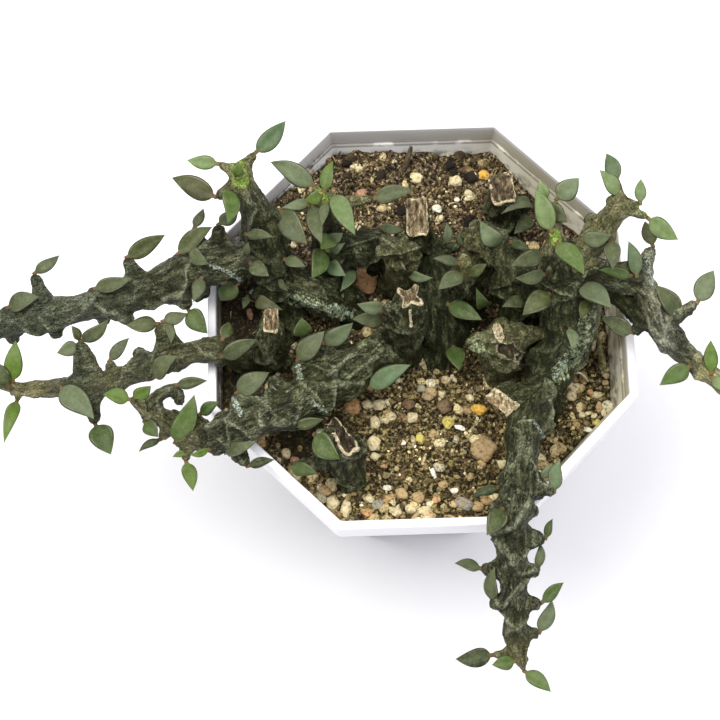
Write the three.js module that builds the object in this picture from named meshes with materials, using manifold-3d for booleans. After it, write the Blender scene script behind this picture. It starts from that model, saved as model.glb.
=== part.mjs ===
// A trailing four-angled succulent in an octagonal plastic pot, in millimetres, Z up.
// The origin is the centre of the pot's underside.
import * as THREE from 'three';
import { mergeVertices } from 'three/addons/utils/BufferGeometryUtils.js';
import Module from 'manifold-3d';

const wasm = await Module();
wasm.setup();

// Pot: half widths are measured square to a flat side of the octagon.
const potSides = 8;
const footChamfer = 1;
const potHeight = 85;
const rimHalf = 50;
const rimWall = 2;
const rimChamfer = 0.6;
const collarHeight = 9;
const collarInnerDepth = 7.5;
const collarStep = 0.6;
const bodyTopHalf = 48.6;
const baseHalf = 35;
const wall = 1.4;
const floorThickness = 2;
const drainRadius = 3;
const drainRing = 17;
const drainCount = 4;
const drainSides = 16;

// Soil: its edge lies below the rim, its middle is slightly heaped, and it falls towards +X.
const soilEdgeDepth = 12;
const soilHeap = 2;
const soilShoulder = 1.4;
const soilFall = 0.085;
const clearance = 0.3;

// Camera of the photograph: its place over the middle of the rim, and its focal length in pixels.
const cameraX = -14.4;
const cameraY = -135.5;
const cameraRise = 418.5;
const cameraTurn = new THREE.Euler(
  THREE.MathUtils.degToRad(16.7),
  0,
  THREE.MathUtils.degToRad(-1.76),
);
const focalPixels = 1870;
const pictureMiddle = 360;

// Stems are four-angled. A row of a branch is picture x, picture y, rise over the rim, half width.
// Leaf rows are picture x and y of the base, x and y of the tip, width, and lift of the tip.
// Horn rows are picture x and y of a tubercle whose leaf is small or has dropped.
const plants = {
  stem_west_upper: {
    branches: [
      [[-24, 331, -4, 2.6], [0, 324, -2, 3.7], [30, 319, 0, 3.9], [60, 313, 2, 3.7], [95, 304, 5, 3.9],
        [135, 295, 8, 4.1], [170, 281, 10, 4.8], [200, 268, 11, 5], [232, 262, 12, 5], [266, 256, 12, 5]],
      [[240, 172, 30, 2.2], [247, 190, 27, 3.2], [257, 212, 23, 4.4], [268, 240, 16, 5],
        [277, 268, 9, 5], [286, 305, -2, 5], [290, 350, -17, 5]],
      [[275, 268, 8, 4.5], [300, 283, 6, 5.2], [325, 295, 3, 5], [348, 306, -3, 4.2], [362, 330, -17, 4]],
    ],
    leaves: [
      [34, 274, 59, 255, 2.9, 1], [7, 308, 39, 297, 4.4, 3], [94, 289, 132, 278, 3.5, 3],
      [126, 258, 165, 235, 4, 1], [188, 309, 206, 333, 4.7, 1], [255, 153, 286, 121, 4.3, 1],
      [219, 164, 187, 160, 3.2, 0], [216, 197, 171, 178, 4.8, 1], [229, 189, 228, 223, 4.3, 5],
    ],
    horns: [[60, 343], [129, 327], [219, 230], [178, 256], [204, 276], [250, 262], [262, 298]],
  },
  stem_west_middle: {
    branches: [
      [[3, 385, -7, 1.7], [25, 389, -6, 2.4], [45, 388, -5, 2.4], [60, 388, -4, 3], [82, 389, -2, 3.6],
        [104, 384, 0, 3], [130, 375, 2, 2.9], [152, 364, 4, 3.4], [172, 358, 5, 3.1], [195, 352, 6.5, 3],
        [220, 350, 6, 3.1], [241, 357, -1, 3.2], [251, 374, -17, 3.2]],
    ],
    leaves: [
      [81, 342, 108, 320, 3.4, 1], [79, 344, 57, 353, 3.4, 1], [95, 424, 111, 453, 5.8, 1],
      [109, 362, 129, 338, 2.9, 1], [13, 382, 15, 341, 4.3, 1], [17, 401, 4, 443, 3.2, 1],
      [159, 324, 126, 325, 3.8, 1],
    ],
    horns: [[60, 387], [163, 322], [153, 378], [221, 357]],
  },
  stem_southwest: {
    branches: [
      [[188, 441, 2, 2.4], [206, 438, 4, 3.2], [226, 430, 6, 4.1], [252, 418, 8, 4.8], [290, 404, 7, 5.2],
        [330, 384, 4, 5.4], [368, 362, 1, 5.6], [398, 350, -5, 5], [404, 366, -17, 4.8]],
      [[206, 438, 4, 3.1], [186, 431, 1, 3.3], [168, 419, 0, 3.3], [150, 409, 1, 3.1], [138, 402, 2, 1.8]],
      [[410, 296, 20, 3.2], [408, 314, 13, 4], [406, 334, 3, 4.3], [404, 366, -17, 4.5]],
    ],
    leaves: [
      [131, 400, 103, 394, 3.8, 1], [173, 386, 207, 381, 2.8, 1],
      [172, 443, 199, 398, 5.3, 7], [186, 461, 193, 491, 3.4, 1],
      [236, 394, 268, 372, 5.1, 3], [297, 361, 324, 331, 5, 4],
      [368, 388, 410, 365, 4.5, 4],
    ],
    horns: [[199, 415], [225, 453], [193, 424], [219, 455], [144, 421], [294, 426], [240, 461]],
  },
  stem_north: {
    branches: [
      [[322, 200, 22, 2.2], [325, 215, 18, 3], [330, 240, 11, 4.1], [335, 262, 3, 4.4], [340, 296, -17, 4.4]],
      [[334, 250, 8, 4], [358, 248, 7, 4.4], [380, 252, 4, 4.5], [395, 262, -2, 4.2], [402, 285, -14, 4]],
    ],
    leaves: [
      [315, 186, 270, 162, 4.6, 2], [324, 193, 333, 161, 3.2, 2], [333, 194, 355, 232, 4.8, 3],
    ],
    horns: [[314, 198], [322, 246], [345, 246], [385, 236], [362, 262]],
  },
  stump_north: {
    branches: [[[417, 217, 12, 3], [419, 232, 6, 3.9], [424, 268, -17, 4.2]]],
    leaves: [],
    horns: [[408, 200], [427, 202]],
  },
  stump_star: {
    branches: [[[400, 252, 14, 4], [400, 266, 6, 4.2], [398, 300, -17, 3.8]]],
    leaves: [],
    horns: [[381, 236], [419, 248], [403, 271], [375, 251]],
  },
  stump_northeast: {
    branches: [[[502, 188, 5, 3.2], [503, 201, 0, 4], [505, 228, -17, 4.2]]],
    leaves: [],
    horns: [[491, 178], [513, 178]],
  },
  stem_middle: {
    branches: [
      [[464, 263, 14, 2.2], [465, 275, 9, 3.4], [468, 300, -3, 4], [470, 326, -17, 4]],
      [[484, 238, 12, 4], [481, 258, 4, 4.2], [470, 290, -8, 4]],
      [[434, 262, -2, 4.4], [438, 290, -2, 5.2], [442, 322, -4, 5.4], [442, 345, -9, 5.4], [438, 368, -17, 5]],
    ],
    leaves: [[464, 274, 439, 289, 4, 3]],
    horns: [[465, 243], [500, 246], [484, 222], [448, 303], [424, 334], [462, 330]],
  },
  stem_inner_east: {
    branches: [
      [[506, 254, 11, 4.2], [514, 270, 9, 5.4], [519, 290, 5, 5.6], [521, 312, -2, 5], [519, 340, -17, 4.6]],
    ],
    leaves: [],
    horns: [[540, 253], [484, 262], [492, 285], [540, 294]],
  },
  stem_east: {
    branches: [
      [[555, 238, 27, 2.4], [558, 252, 24, 3.8], [562, 275, 18, 5], [562, 305, 11, 5.4], [558, 335, 5, 5.4],
        [550, 362, 0, 5.4], [543, 392, -5, 5.4], [541, 416, -17, 5.4]],
      [[562, 275, 18, 4.4], [585, 270, 18, 4.4], [612, 276, 18, 3.8], [640, 282, 18, 3.2], [651, 304, 16, 2.9],
        [662, 328, 13, 3.3], [678, 347, 11, 3.3], [692, 360, 9, 2.8], [705, 371, 8, 2.7], [728, 386, 7, 2.6],
        [748, 398, 5, 1.8]],
      [[562, 262, 21, 4], [583, 250, 22, 3.8], [600, 232, 24, 3.5], [614, 214, 27, 3.1], [624, 206, 29, 2]],
      [[575, 285, 14, 4.2], [586, 305, 9, 4.4], [584, 326, 4, 4.8], [576, 352, -3, 4.8], [566, 386, -17, 4.8]],
      [[543, 388, -3, 5], [532, 410, 1, 5], [524, 435, 4, 4.6], [522, 460, 6, 4.2], [517, 490, 7, 4.2],
        [513, 520, 7.5, 4.2], [512, 550, 6, 4], [514, 580, 3, 3.6], [515, 610, -1, 3.3], [517, 640, -6, 2.7],
        [521, 662, -10, 1.6]],
      [[540, 396, -2, 4.6], [520, 398, 1, 4.2], [501, 402, 3, 3.6]],
      [[590, 284, 13, 3.6], [612, 292, 12, 3.4], [634, 305, 12, 3.2], [654, 321, 13, 2.8]],
    ],
    leaves: [
      [552, 232, 535, 190, 4.7, 3], [557, 243, 584, 274, 4.7, 4], [618, 182, 606, 153, 3.6, 1],
      [640, 204, 641, 179, 2.6, 1], [648, 218, 677, 240, 4.4, 1], [680, 316, 655, 285, 4.4, 3],
      [697, 303, 714, 270, 4.6, 1], [690, 366, 661, 385, 4.2, 1], [579, 284, 611, 308, 5, 3],
      [634, 333, 601, 319, 4, 1],
      [554, 492, 560, 460, 3.2, 2], [482, 569, 455, 563, 2.6, 1],
      [541, 603, 564, 583, 2.9, 1], [539, 633, 552, 600, 3.4, 2], [493, 655, 456, 659, 4.2, 1],
      [516, 661, 492, 665, 3.4, 1], [524, 671, 551, 691, 3.6, 1],
    ],
    horns: [[499, 487], [608, 197], [650, 248], [581, 240], [499, 507], [541, 536], [537, 570], [490, 603],
      [492, 568], [711, 374]],
  },
  stump_broken: {
    branches: [
      [[478, 338, 3, 3.2], [497, 345, 5, 4.6], [516, 349, 3, 4.4], [525, 356, -2, 3.4]],
      [[500, 347, 4, 4.2], [500, 384, -17, 4.4]],
    ],
    leaves: [],
    horns: [[466, 341], [536, 362], [498, 330]],
  },
  stump_front: {
    branches: [[[342, 436, 8, 3.8], [346, 455, 2, 4.4], [352, 486, -17, 4.6]]],
    leaves: [[314, 434, 339, 459, 5.4, 2]],
    horns: [[330, 420], [356, 452]],
  },
  stump_west: {
    branches: [[[268, 324, 10, 3], [268, 340, 5, 3.9], [268, 376, -17, 4.2]]],
    leaves: [],
    horns: [[258, 318]],
  },
};

const potWhite = new THREE.MeshStandardMaterial({ color: '#f1f0ee', roughness: 0.35, metalness: 0 });
const soilBrown = new THREE.MeshStandardMaterial({ color: '#6f5f4c', roughness: 0.95, metalness: 0 });
const barkOlive = new THREE.MeshStandardMaterial({ color: '#565b49', roughness: 0.75, metalness: 0 });
const leafGreen = new THREE.MeshStandardMaterial({ color: '#6d7a60', roughness: 0.5, metalness: 0 });

const weldReach = 1e-4;

// A closed mesh as a solid that can be joined and cut.
function solid(geometry) {
  const bare = geometry.clone();
  bare.deleteAttribute('normal');
  bare.deleteAttribute('uv');
  const merged = mergeVertices(bare, weldReach);
  const corners = merged.index.array;
  const kept = [];
  for (let i = 0; i < corners.length; i += 3) {
    const [a, b, c] = corners.slice(i, i + 3);
    if (a !== b && b !== c && c !== a) {
      kept.push(a, b, c);
    }
  }
  return new wasm.Manifold(new wasm.Mesh({
    numProp: 3,
    vertProperties: new Float32Array(merged.attributes.position.array),
    triVerts: new Uint32Array(kept),
  }));
}

// A solid as a named mesh.
function meshOf(name, body, material) {
  const shape = body.getMesh();
  const geometry = new THREE.BufferGeometry();
  geometry.setAttribute('position', new THREE.BufferAttribute(shape.vertProperties, 3));
  geometry.setIndex(new THREE.BufferAttribute(shape.triVerts, 1));
  geometry.computeVertexNormals();
  const mesh = new THREE.Mesh(geometry, material);
  mesh.name = name;
  return mesh;
}

// Rings of equal count joined into a closed skin, with a fan over each end.
function loft(rings) {
  const count = rings[0].length;
  const places = [];
  const corners = [];
  for (const ring of rings) {
    for (const point of ring) {
      places.push(point.x, point.y, point.z);
    }
  }
  for (let row = 0; row + 1 < rings.length; row += 1) {
    for (let k = 0; k < count; k += 1) {
      const a = row * count + k;
      const b = row * count + ((k + 1) % count);
      corners.push(a, b, b + count, a, b + count, a + count);
    }
  }
  const last = (rings.length - 1) * count;
  for (let k = 1; k + 1 < count; k += 1) {
    corners.push(0, k + 1, k, last, last + k, last + k + 1);
  }
  const geometry = new THREE.BufferGeometry();
  geometry.setAttribute('position', new THREE.Float32BufferAttribute(places, 3));
  geometry.setIndex(corners);
  return solid(geometry);
}

// An eight-sided turning of a profile, with its flat sides square to X and Y.
function octagonal(profile) {
  const points = profile.map(([half, z]) => new THREE.Vector2(half / Math.cos(Math.PI / potSides), z));
  const turned = new THREE.LatheGeometry(points, potSides, Math.PI / potSides);
  turned.rotateX(Math.PI / 2);
  return solid(turned);
}

const lens = new THREE.Vector3(cameraX, cameraY, potHeight + cameraRise);

// The line of sight through a point of the picture.
function sight(x, y) {
  const ray = new THREE.Vector3((x - pictureMiddle) / focalPixels, (pictureMiddle - y) / focalPixels, -1);
  return ray.applyEuler(cameraTurn).normalize();
}

// The place that the picture shows at x, y, at a rise over the rim.
function spot(x, y, rise) {
  const ray = sight(x, y);
  return lens.clone().addScaledVector(ray, (rise - cameraRise) / ray.z);
}

const stemStep = 6;
const stemPoints = 8;
const ridgeShare = 1.12;
const valleyShare = 0.8;
const curveSamples = 200;
const uprightLimit = 0.9;

// The middle line of a branch as evenly spaced stations, each with its half width.
function stations(branch) {
  const knots = branch.map(([x, y, rise]) => spot(x, y, rise));
  const line = new THREE.CatmullRomCurve3(knots, false, 'centripetal');
  const lengths = line.getLengths(curveSamples);
  const total = lengths[lengths.length - 1];
  const count = Math.max(2, Math.round(total / stemStep));
  const found = [];
  for (let i = 0; i <= count; i += 1) {
    const t = line.getUtoTmapping(i / count);
    const reach = t * (branch.length - 1);
    const from = Math.min(branch.length - 2, Math.floor(reach));
    const half = THREE.MathUtils.lerp(branch[from][3], branch[from + 1][3], reach - from);
    found.push({ place: line.getPoint(t), along: line.getTangent(t), half });
  }
  return found;
}

// A round-about ring of points square to a direction. Every second one lies in a groove.
function ring(place, along, side, half, count, groove) {
  const up = new THREE.Vector3().crossVectors(along, side).normalize();
  const points = [];
  for (let k = 0; k < count; k += 1) {
    const turn = (k / count) * 2 * Math.PI;
    const reach = half * (k % 2 ? groove : ridgeShare);
    points.push(place.clone()
      .addScaledVector(side, Math.cos(turn) * reach)
      .addScaledVector(up, Math.sin(turn) * reach));
  }
  return points;
}

// A branch as a grooved four-angled rod.
function sweep(found, extra) {
  let side = new THREE.Vector3(0, 0, 1).cross(found[0].along).normalize();
  if (Math.abs(found[0].along.z) > uprightLimit) {
    side.set(1, 0, 0);
  }
  const rings = found.map(({ place, along, half }) => {
    side = side.clone().addScaledVector(along, -side.dot(along)).normalize();
    const diagonal = side.clone().applyAxisAngle(along, Math.PI / 4);
    return ring(place, along, diagonal, half + extra, stemPoints, valleyShare);
  });
  return loft(rings);
}

const hornFootShare = 0.62;
const hornWaist = 0.6;
const hornWaistShare = 0.7;
const hornTipHalf = 0.8;
const hornSides = 5;
const hornStand = 0.7;
const hornReference = new THREE.Vector3(0.3, 0.2, 1);

// Where a leaf or a tubercle sits: on the stem's skin, or beside it at the stem's own depth.
function seat(lines, x, y) {
  const ray = sight(x, y);
  let best = null;
  for (const found of lines) {
    for (const station of found) {
      const depth = station.place.clone().sub(lens).dot(ray);
      const onSight = lens.clone().addScaledVector(ray, depth);
      const off = onSight.distanceTo(station.place);
      if (best === null || off < best.off) {
        best = { off, onSight, station };
      }
    }
  }
  const { off, onSight, station } = best;
  const inside = Math.max(0, station.half ** 2 - off ** 2);
  const tip = onSight.addScaledVector(ray, -(Math.sqrt(inside) + (inside > 0 ? hornStand : 0)));
  return { tip, foot: station.place, half: station.half };
}

// A tubercle: a five-sided spike that narrows from the stem's middle line to its seat.
function horn({ tip, foot, half }, extra) {
  const along = tip.clone().sub(foot);
  const reach = along.length();
  along.normalize();
  const side = hornReference.clone().cross(along).normalize();
  const wide = half * hornFootShare;
  const rows = [[0, wide], [hornWaist, wide * hornWaistShare], [1, hornTipHalf]];
  const rings = rows.map(([share, spread]) => {
    const place = foot.clone().addScaledVector(along, share * (reach + extra));
    return ring(place, along, side, spread + extra, hornSides, 1);
  });
  return loft(rings);
}

// A branched stem with its tubercles, swollen by extra all round.
function plantBody(lines, seats, extra) {
  let body = sweep(lines[0], extra);
  for (const found of lines.slice(1)) {
    body = body.add(sweep(found, extra));
  }
  for (const each of seats) {
    body = body.add(horn(each, extra));
  }
  return body;
}

const leafThickness = 1;
const leafEdgeShare = 0.35;
const leafProfile = [[0, 0.14], [0.12, 0.5], [0.34, 1], [0.6, 0.86], [0.82, 0.44], [1, 0.06]];
const petioleGap = 0.4;

// A pointed oval leaf, thickest along its midrib and turned to face the camera.
function leaf(base, tip, width) {
  const along = tip.clone().sub(base).normalize();
  const start = base.clone().addScaledVector(along, petioleGap);
  const reach = tip.distanceTo(start);
  const face = lens.clone().sub(base);
  face.addScaledVector(along, -face.dot(along)).normalize();
  const side = new THREE.Vector3().crossVectors(along, face);
  return loft(leafProfile.map(([share, wide]) => {
    const place = start.clone().addScaledVector(along, share * reach);
    const half = (wide * width) / 2;
    const thick = (leafThickness / 2) * THREE.MathUtils.lerp(leafEdgeShare, 1, wide);
    return [
      place.clone().addScaledVector(side, half),
      place.clone().addScaledVector(face, -thick),
      place.clone().addScaledVector(side, -half),
      place.clone().addScaledVector(face, thick),
    ];
  }));
}

const model = new THREE.Group();

const taper = (bodyTopHalf - baseHalf) / (potHeight - collarHeight);
const innerTop = potHeight - collarInnerDepth;
const innerHalf = (z) => baseHalf + taper * z - wall;

let pot = octagonal([
  [0, 0],
  [baseHalf - footChamfer, 0],
  [baseHalf, footChamfer],
  [bodyTopHalf, potHeight - collarHeight],
  [rimHalf - rimChamfer, potHeight - collarHeight + rimChamfer],
  [rimHalf, potHeight - rimChamfer],
  [rimHalf - rimChamfer, potHeight],
  [rimHalf - rimWall + rimChamfer, potHeight],
  [rimHalf - rimWall, potHeight - rimChamfer],
  [rimHalf - rimWall, innerTop],
  [rimHalf - rimWall - collarStep, innerTop - footChamfer],
  [innerHalf(floorThickness + footChamfer), floorThickness + footChamfer],
  [innerHalf(floorThickness) - footChamfer, floorThickness],
  [0, floorThickness],
]);
for (let k = 0; k < drainCount; k += 1) {
  const turn = ((k + 0.5) / drainCount) * 2 * Math.PI;
  const hole = new THREE.CylinderGeometry(drainRadius, drainRadius, floorThickness * 3, drainSides);
  hole.rotateX(Math.PI / 2);
  hole.translate(Math.cos(turn) * drainRing, Math.sin(turn) * drainRing, 0);
  pot = pot.subtract(solid(hole));
}
model.add(meshOf('pot', pot, potWhite));

const soilTop = potHeight - soilEdgeDepth;
const soilFoot = floorThickness + clearance;
let soil = octagonal([
  [0, soilFoot],
  [innerHalf(soilFoot) - footChamfer - 2 * clearance, soilFoot],
  [innerHalf(soilFoot + footChamfer) - clearance, soilFoot + footChamfer],
  [innerHalf(soilTop) - clearance, soilTop],
  [rimHalf / 2, soilTop + soilShoulder],
  [0, soilTop + soilHeap],
]);
// The top tilts, and its edge follows the taper of the pot's wall.
soil = soil.warp((point) => {
  if (point[2] < soilTop - clearance) {
    return;
  }
  const height = point[2] - soilFall * point[0];
  const spread = (innerHalf(height) - clearance) / (innerHalf(point[2]) - clearance);
  point[0] *= spread;
  point[1] *= spread;
  point[2] = height;
});

const keepClear = [];
const leaves = [];
for (const [name, { branches, leaves: leafRows, horns }] of Object.entries(plants)) {
  const lines = branches.map(stations);
  const seats = [...leafRows, ...horns].map(([x, y]) => seat(lines, x, y));
  let body = plantBody(lines, seats, 0);
  for (const other of keepClear) {
    body = body.subtract(other);
  }
  const swollen = plantBody(lines, seats, clearance);
  keepClear.push(swollen);
  soil = soil.subtract(swollen);
  model.add(meshOf(name, body, barkOlive));
  leafRows.forEach(([, , tipX, tipY, width, lift], k) => {
    const base = seats[k].tip;
    const tip = spot(tipX, tipY, base.z - potHeight + lift);
    leaves.push({ name: `${name.replace(/^(stem|stump)/, 'leaf')}_${k + 1}`, body: leaf(base, tip, width) });
  });
}
model.add(meshOf('soil', soil, soilBrown));

for (const { name, body } of leaves) {
  let clear = body;
  for (const other of keepClear) {
    clear = clear.subtract(other);
  }
  model.add(meshOf(name, clear, leafGreen));
}

export default model;
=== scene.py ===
import math

import bmesh
import bpy
import numpy as np
from mathutils import Euler, kdtree, Matrix, noise, Vector


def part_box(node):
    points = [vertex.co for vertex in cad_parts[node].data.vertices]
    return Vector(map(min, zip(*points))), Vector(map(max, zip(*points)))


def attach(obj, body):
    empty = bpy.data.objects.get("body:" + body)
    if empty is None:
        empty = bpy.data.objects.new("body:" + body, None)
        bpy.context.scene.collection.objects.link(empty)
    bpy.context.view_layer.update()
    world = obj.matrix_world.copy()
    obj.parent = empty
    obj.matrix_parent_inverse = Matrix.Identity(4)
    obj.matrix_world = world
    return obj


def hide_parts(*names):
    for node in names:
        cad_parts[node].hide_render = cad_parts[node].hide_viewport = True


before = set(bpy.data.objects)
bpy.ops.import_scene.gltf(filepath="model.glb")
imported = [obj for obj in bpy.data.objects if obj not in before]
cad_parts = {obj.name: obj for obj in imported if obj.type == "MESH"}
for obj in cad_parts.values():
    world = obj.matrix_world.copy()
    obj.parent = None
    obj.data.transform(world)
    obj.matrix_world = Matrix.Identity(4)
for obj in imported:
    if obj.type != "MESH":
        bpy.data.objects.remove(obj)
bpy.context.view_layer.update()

# Camera: it looks down on the pot from in front, as the photograph does. Places on the plant are
# read as picture x and y and a rise over the rim in millimetres, and found along the line of sight.
MM = 0.001
PICTURE_SIDE = 720
FOCAL_PIXELS = 1870
SENSOR_MM = 36
rim_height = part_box("pot")[1].z
camera_place = Vector((-14.4 * MM, -135.5 * MM, rim_height + 418.5 * MM))
camera_turn = (Matrix.Rotation(math.radians(16.7), 3, "X")
               @ Matrix.Rotation(math.radians(-1.76), 3, "Z"))


def add_object(name, data):
    found = bpy.data.objects.new(name, data)
    bpy.context.scene.collection.objects.link(found)
    return found


camera_data = bpy.data.cameras.new("camera")
camera_data.sensor_width = SENSOR_MM
camera_data.lens = FOCAL_PIXELS * SENSOR_MM / PICTURE_SIDE
camera_data.clip_start = 10 * MM
camera = add_object("camera", camera_data)
camera.matrix_world = Matrix.Translation(camera_place) @ camera_turn.to_4x4()
bpy.context.scene.camera = camera


def sight(x, y):
    """The direction of the line of sight through a point of the picture."""
    middle = PICTURE_SIDE / 2
    ray = Vector(((x - middle) / FOCAL_PIXELS, (middle - y) / FOCAL_PIXELS, -1))
    return (camera_turn @ ray).normalized()


def spot(x, y, rise):
    """The place seen at x, y that lies a number of millimetres over the rim."""
    ray = sight(x, y)
    height = rim_height + rise * MM
    return camera_place + ray * ((height - camera_place.z) / ray.z)


# Floor and light: a plain pale table top under two wide soft lights high overhead, a warm one on the
# left and a cool one on the right, both a little behind the pot, and a pale sky all round.
FLOOR_SIDE = 4.0
SOFT_LIGHTS = {
    "warm": ((-0.35, 0.12, 1.0), 0.55, 11.5, (1.0, 0.98, 0.92)),
    "cool": ((0.3, 0.05, 1.05), 0.7, 7.5, (0.97, 0.98, 1.0)),
}
LIGHT_TARGET = Vector((0, 0, 0.06))

floor_mesh = bpy.data.meshes.new("floor")
corner = FLOOR_SIDE / 2
floor_mesh.from_pydata([(-corner, -corner, 0), (corner, -corner, 0), (corner, corner, 0),
                        (-corner, corner, 0)],
                       [], [(0, 1, 2, 3)])
floor = add_object("floor", floor_mesh)

for light_name, (light_place, side, power, colour) in SOFT_LIGHTS.items():
    light_data = bpy.data.lights.new(light_name, "AREA")
    light_data.shape = "SQUARE"
    light_data.size = side
    light_data.energy = power
    light_data.color = colour
    lamp = add_object(light_name, light_data)
    lamp.location = light_place
    lamp.rotation_euler = (LIGHT_TARGET - Vector(light_place)).to_track_quat("-Z", "Y").to_euler()

sky = bpy.data.worlds.new("sky")
sky.use_nodes = True
sky.node_tree.nodes["Background"].inputs["Color"].default_value = (0.955, 0.945, 1.0, 1)
sky.node_tree.nodes["Background"].inputs["Strength"].default_value = 0.8
bpy.context.scene.world = sky
bpy.context.scene.view_settings.view_transform = "Standard"


# Materials are written as sums on sockets: a Value wraps one, and arithmetic on it adds Math nodes.
class Value:
    def __init__(self, paint, socket):
        self.paint = paint
        self.socket = socket

    def _math(self, operation, *others):
        return self.paint.node("ShaderNodeMath", {"operation": operation}, self, *others)

    def __add__(self, other):
        return self._math("ADD", other)

    def __sub__(self, other):
        return self._math("SUBTRACT", other)

    def __rsub__(self, other):
        return self.paint.node("ShaderNodeMath", {"operation": "SUBTRACT"}, other, self)

    def __mul__(self, other):
        return self._math("MULTIPLY", other)

    def __abs__(self):
        return self._math("ABSOLUTE")


class Paint:
    """A node material on a Principled shader."""

    def __init__(self, name):
        self.material = bpy.data.materials.new(name)
        self.material.use_nodes = True
        self.nodes = self.material.node_tree.nodes
        self.links = self.material.node_tree.links
        self.shader = self.nodes["Principled BSDF"]

    def feed(self, socket, value):
        """Links a Value to a socket, or sets the socket to a plain number, vector or colour."""
        if isinstance(value, Value):
            self.links.new(value.socket, socket)
        else:
            socket.default_value = (*value, 1) if socket.type == "RGBA" else value

    def node(self, kind, settings, *values, out=0, **named):
        made = self.nodes.new(kind)
        for key, setting in settings.items():
            if key == "stops":
                ramp = made.color_ramp
                while len(ramp.elements) < len(setting):
                    ramp.elements.new(0.5)
                for element, (place, colour) in zip(ramp.elements, setting):
                    element.position = place
                    element.color = (*colour, 1)
            else:
                setattr(made, key, setting)
        wanted = list(enumerate(values)) + list(named.items())
        for key, value in wanted:
            self.feed(made.inputs[key if isinstance(key, int) else key.replace("_", " ")], value)
        return Value(self, made.outputs[out])

    def part(self, vector, number):
        """One part of a vector: 0, 1 or 2 for x, y or z."""
        return self.node("ShaderNodeSeparateXYZ", {}, vector, out=number)

    def vector_math(self, operation, *values, out=0):
        return self.node("ShaderNodeVectorMath", {"operation": operation}, *values, out=out)

    def place(self, scale=(1, 1, 1)):
        coordinates = self.node("ShaderNodeTexCoord", {}, out=3)
        return self.node("ShaderNodeMapping", {}, Vector=coordinates, Scale=scale)

    def attribute(self, name, out=2):
        return self.node("ShaderNodeAttribute", {"attribute_name": name}, out=out)

    def noise(self, scale, detail=3, vector=None, roughness=0.55):
        where = vector or self.place()
        return self.node("ShaderNodeTexNoise", {}, Vector=where, Scale=scale, Detail=detail,
                         Roughness=roughness)

    def ramp(self, value, *stops):
        return self.node("ShaderNodeValToRGB", {"stops": stops}, value)

    def span(self, value, low, high):
        """0 below low and 1 over high, with a smooth rise between them."""
        return self.node("ShaderNodeMapRange", {"interpolation_type": "SMOOTHSTEP"}, value, low, high)

    def mix(self, factor, first, second, blend="MIX"):
        made = self.nodes.new("ShaderNodeMix")
        made.data_type = "RGBA"
        made.blend_type = blend
        colours = [socket for socket in made.inputs if socket.type == "RGBA"]
        for socket, value in ((made.inputs[0], factor), (colours[0], first), (colours[1], second)):
            self.feed(socket, value)
        found = [socket for socket in made.outputs if socket.type == "RGBA"]
        return Value(self, found[0])

    def bump(self, height, strength, distance):
        return self.node("ShaderNodeBump", {}, Height=height, Strength=strength, Distance=distance)

    def finish(self, **named):
        for key, value in named.items():
            self.feed(self.shader.inputs[key.replace("_", " ")], value)
        return self.material


table_paint = Paint("table_top")
table_grain = table_paint.noise(14, 4)
floor_mesh.materials.append(table_paint.finish(
    Base_Color=table_paint.ramp(table_grain, (0.3, (0.68, 0.68, 0.69)), (0.7, (0.7, 0.7, 0.71))),
    Roughness=table_paint.span(table_grain, 0.2, 0.8) * 0.06 + 0.87,
    Normal=table_paint.bump(table_grain, 0.05, 0.0005)))


# The pot is one moulding in glossy white polypropylene: a tapered octagonal body under a deeper
# collar, a small ledge inside below the collar, corners softened outside, and a floor with holes.
POT_SIDES = 8
CORNER_STEPS = 5
LIP_STEPS = 4
RIM_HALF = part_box("pot")[1].x
BASE_HALF = 35 * MM
BODY_TOP_HALF = 48.6 * MM
COLLAR_FOOT = rim_height - 9 * MM
LEDGE_HEIGHT = rim_height - 7.5 * MM
RIM_WALL = 2 * MM
WALL = 1.4 * MM
FLOOR_THICKNESS = 2 * MM
DRAIN_RADIUS = 3 * MM
DRAIN_RING = 17 * MM
DRAIN_COUNT = 4
DRAIN_SIDES = 32
OUTER_CORNER = 2.4 * MM
INNER_CORNER = 0.7 * MM
FOOT_ROUNDING = 1.2 * MM
FOOT_INSET = 2.6 * MM
FLOOR_FILLET = 1 * MM
SHARP_ANGLE = math.radians(28)
body_taper = (BODY_TOP_HALF - BASE_HALF) / COLLAR_FOOT


def inner_half(height):
    return BASE_HALF + body_taper * height - WALL


def octagon(half, height, rounding):
    """A ring of points round an octagon with its flats square to X and Y and its corners rounded."""
    points = []
    reach = (half - rounding) / math.cos(math.pi / POT_SIDES)
    for k in range(POT_SIDES):
        middle = (k + 0.5) * 2 * math.pi / POT_SIDES
        for step in range(CORNER_STEPS + 1):
            turn = middle + (step / CORNER_STEPS - 0.5) * 2 * math.pi / POT_SIDES
            points.append(Vector((math.cos(middle) * reach + math.cos(turn) * rounding,
                                  math.sin(middle) * reach + math.sin(turn) * rounding, height)))
    return points


def lip(half, height, radius, start, end):
    """Profile points round a small quarter arc, as half width and height."""
    angles = [math.radians(start + (end - start) * k / LIP_STEPS) for k in range(LIP_STEPS + 1)]
    return [(half + radius * math.cos(a), height + radius * math.sin(a)) for a in angles]


def skin(rings):
    """Rings of equal count joined into a closed mesh, with a face over each end."""
    made = bmesh.new()
    rows = [[made.verts.new(point) for point in ring] for ring in rings]
    for low, high in zip(rows, rows[1:]):
        for k in range(len(low)):
            follow = (k + 1) % len(low)
            made.faces.new((low[k], low[follow], high[follow], high[k]))
    made.faces.new(rows[0][::-1])
    made.faces.new(rows[-1])
    return made


def mesh_from(build, name):
    """A mesh of a finished bmesh, which is freed."""
    mesh = bpy.data.meshes.new(name)
    build.to_mesh(mesh)
    build.free()
    return mesh


def smooth(mesh):
    for polygon in mesh.polygons:
        polygon.use_smooth = True


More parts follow.
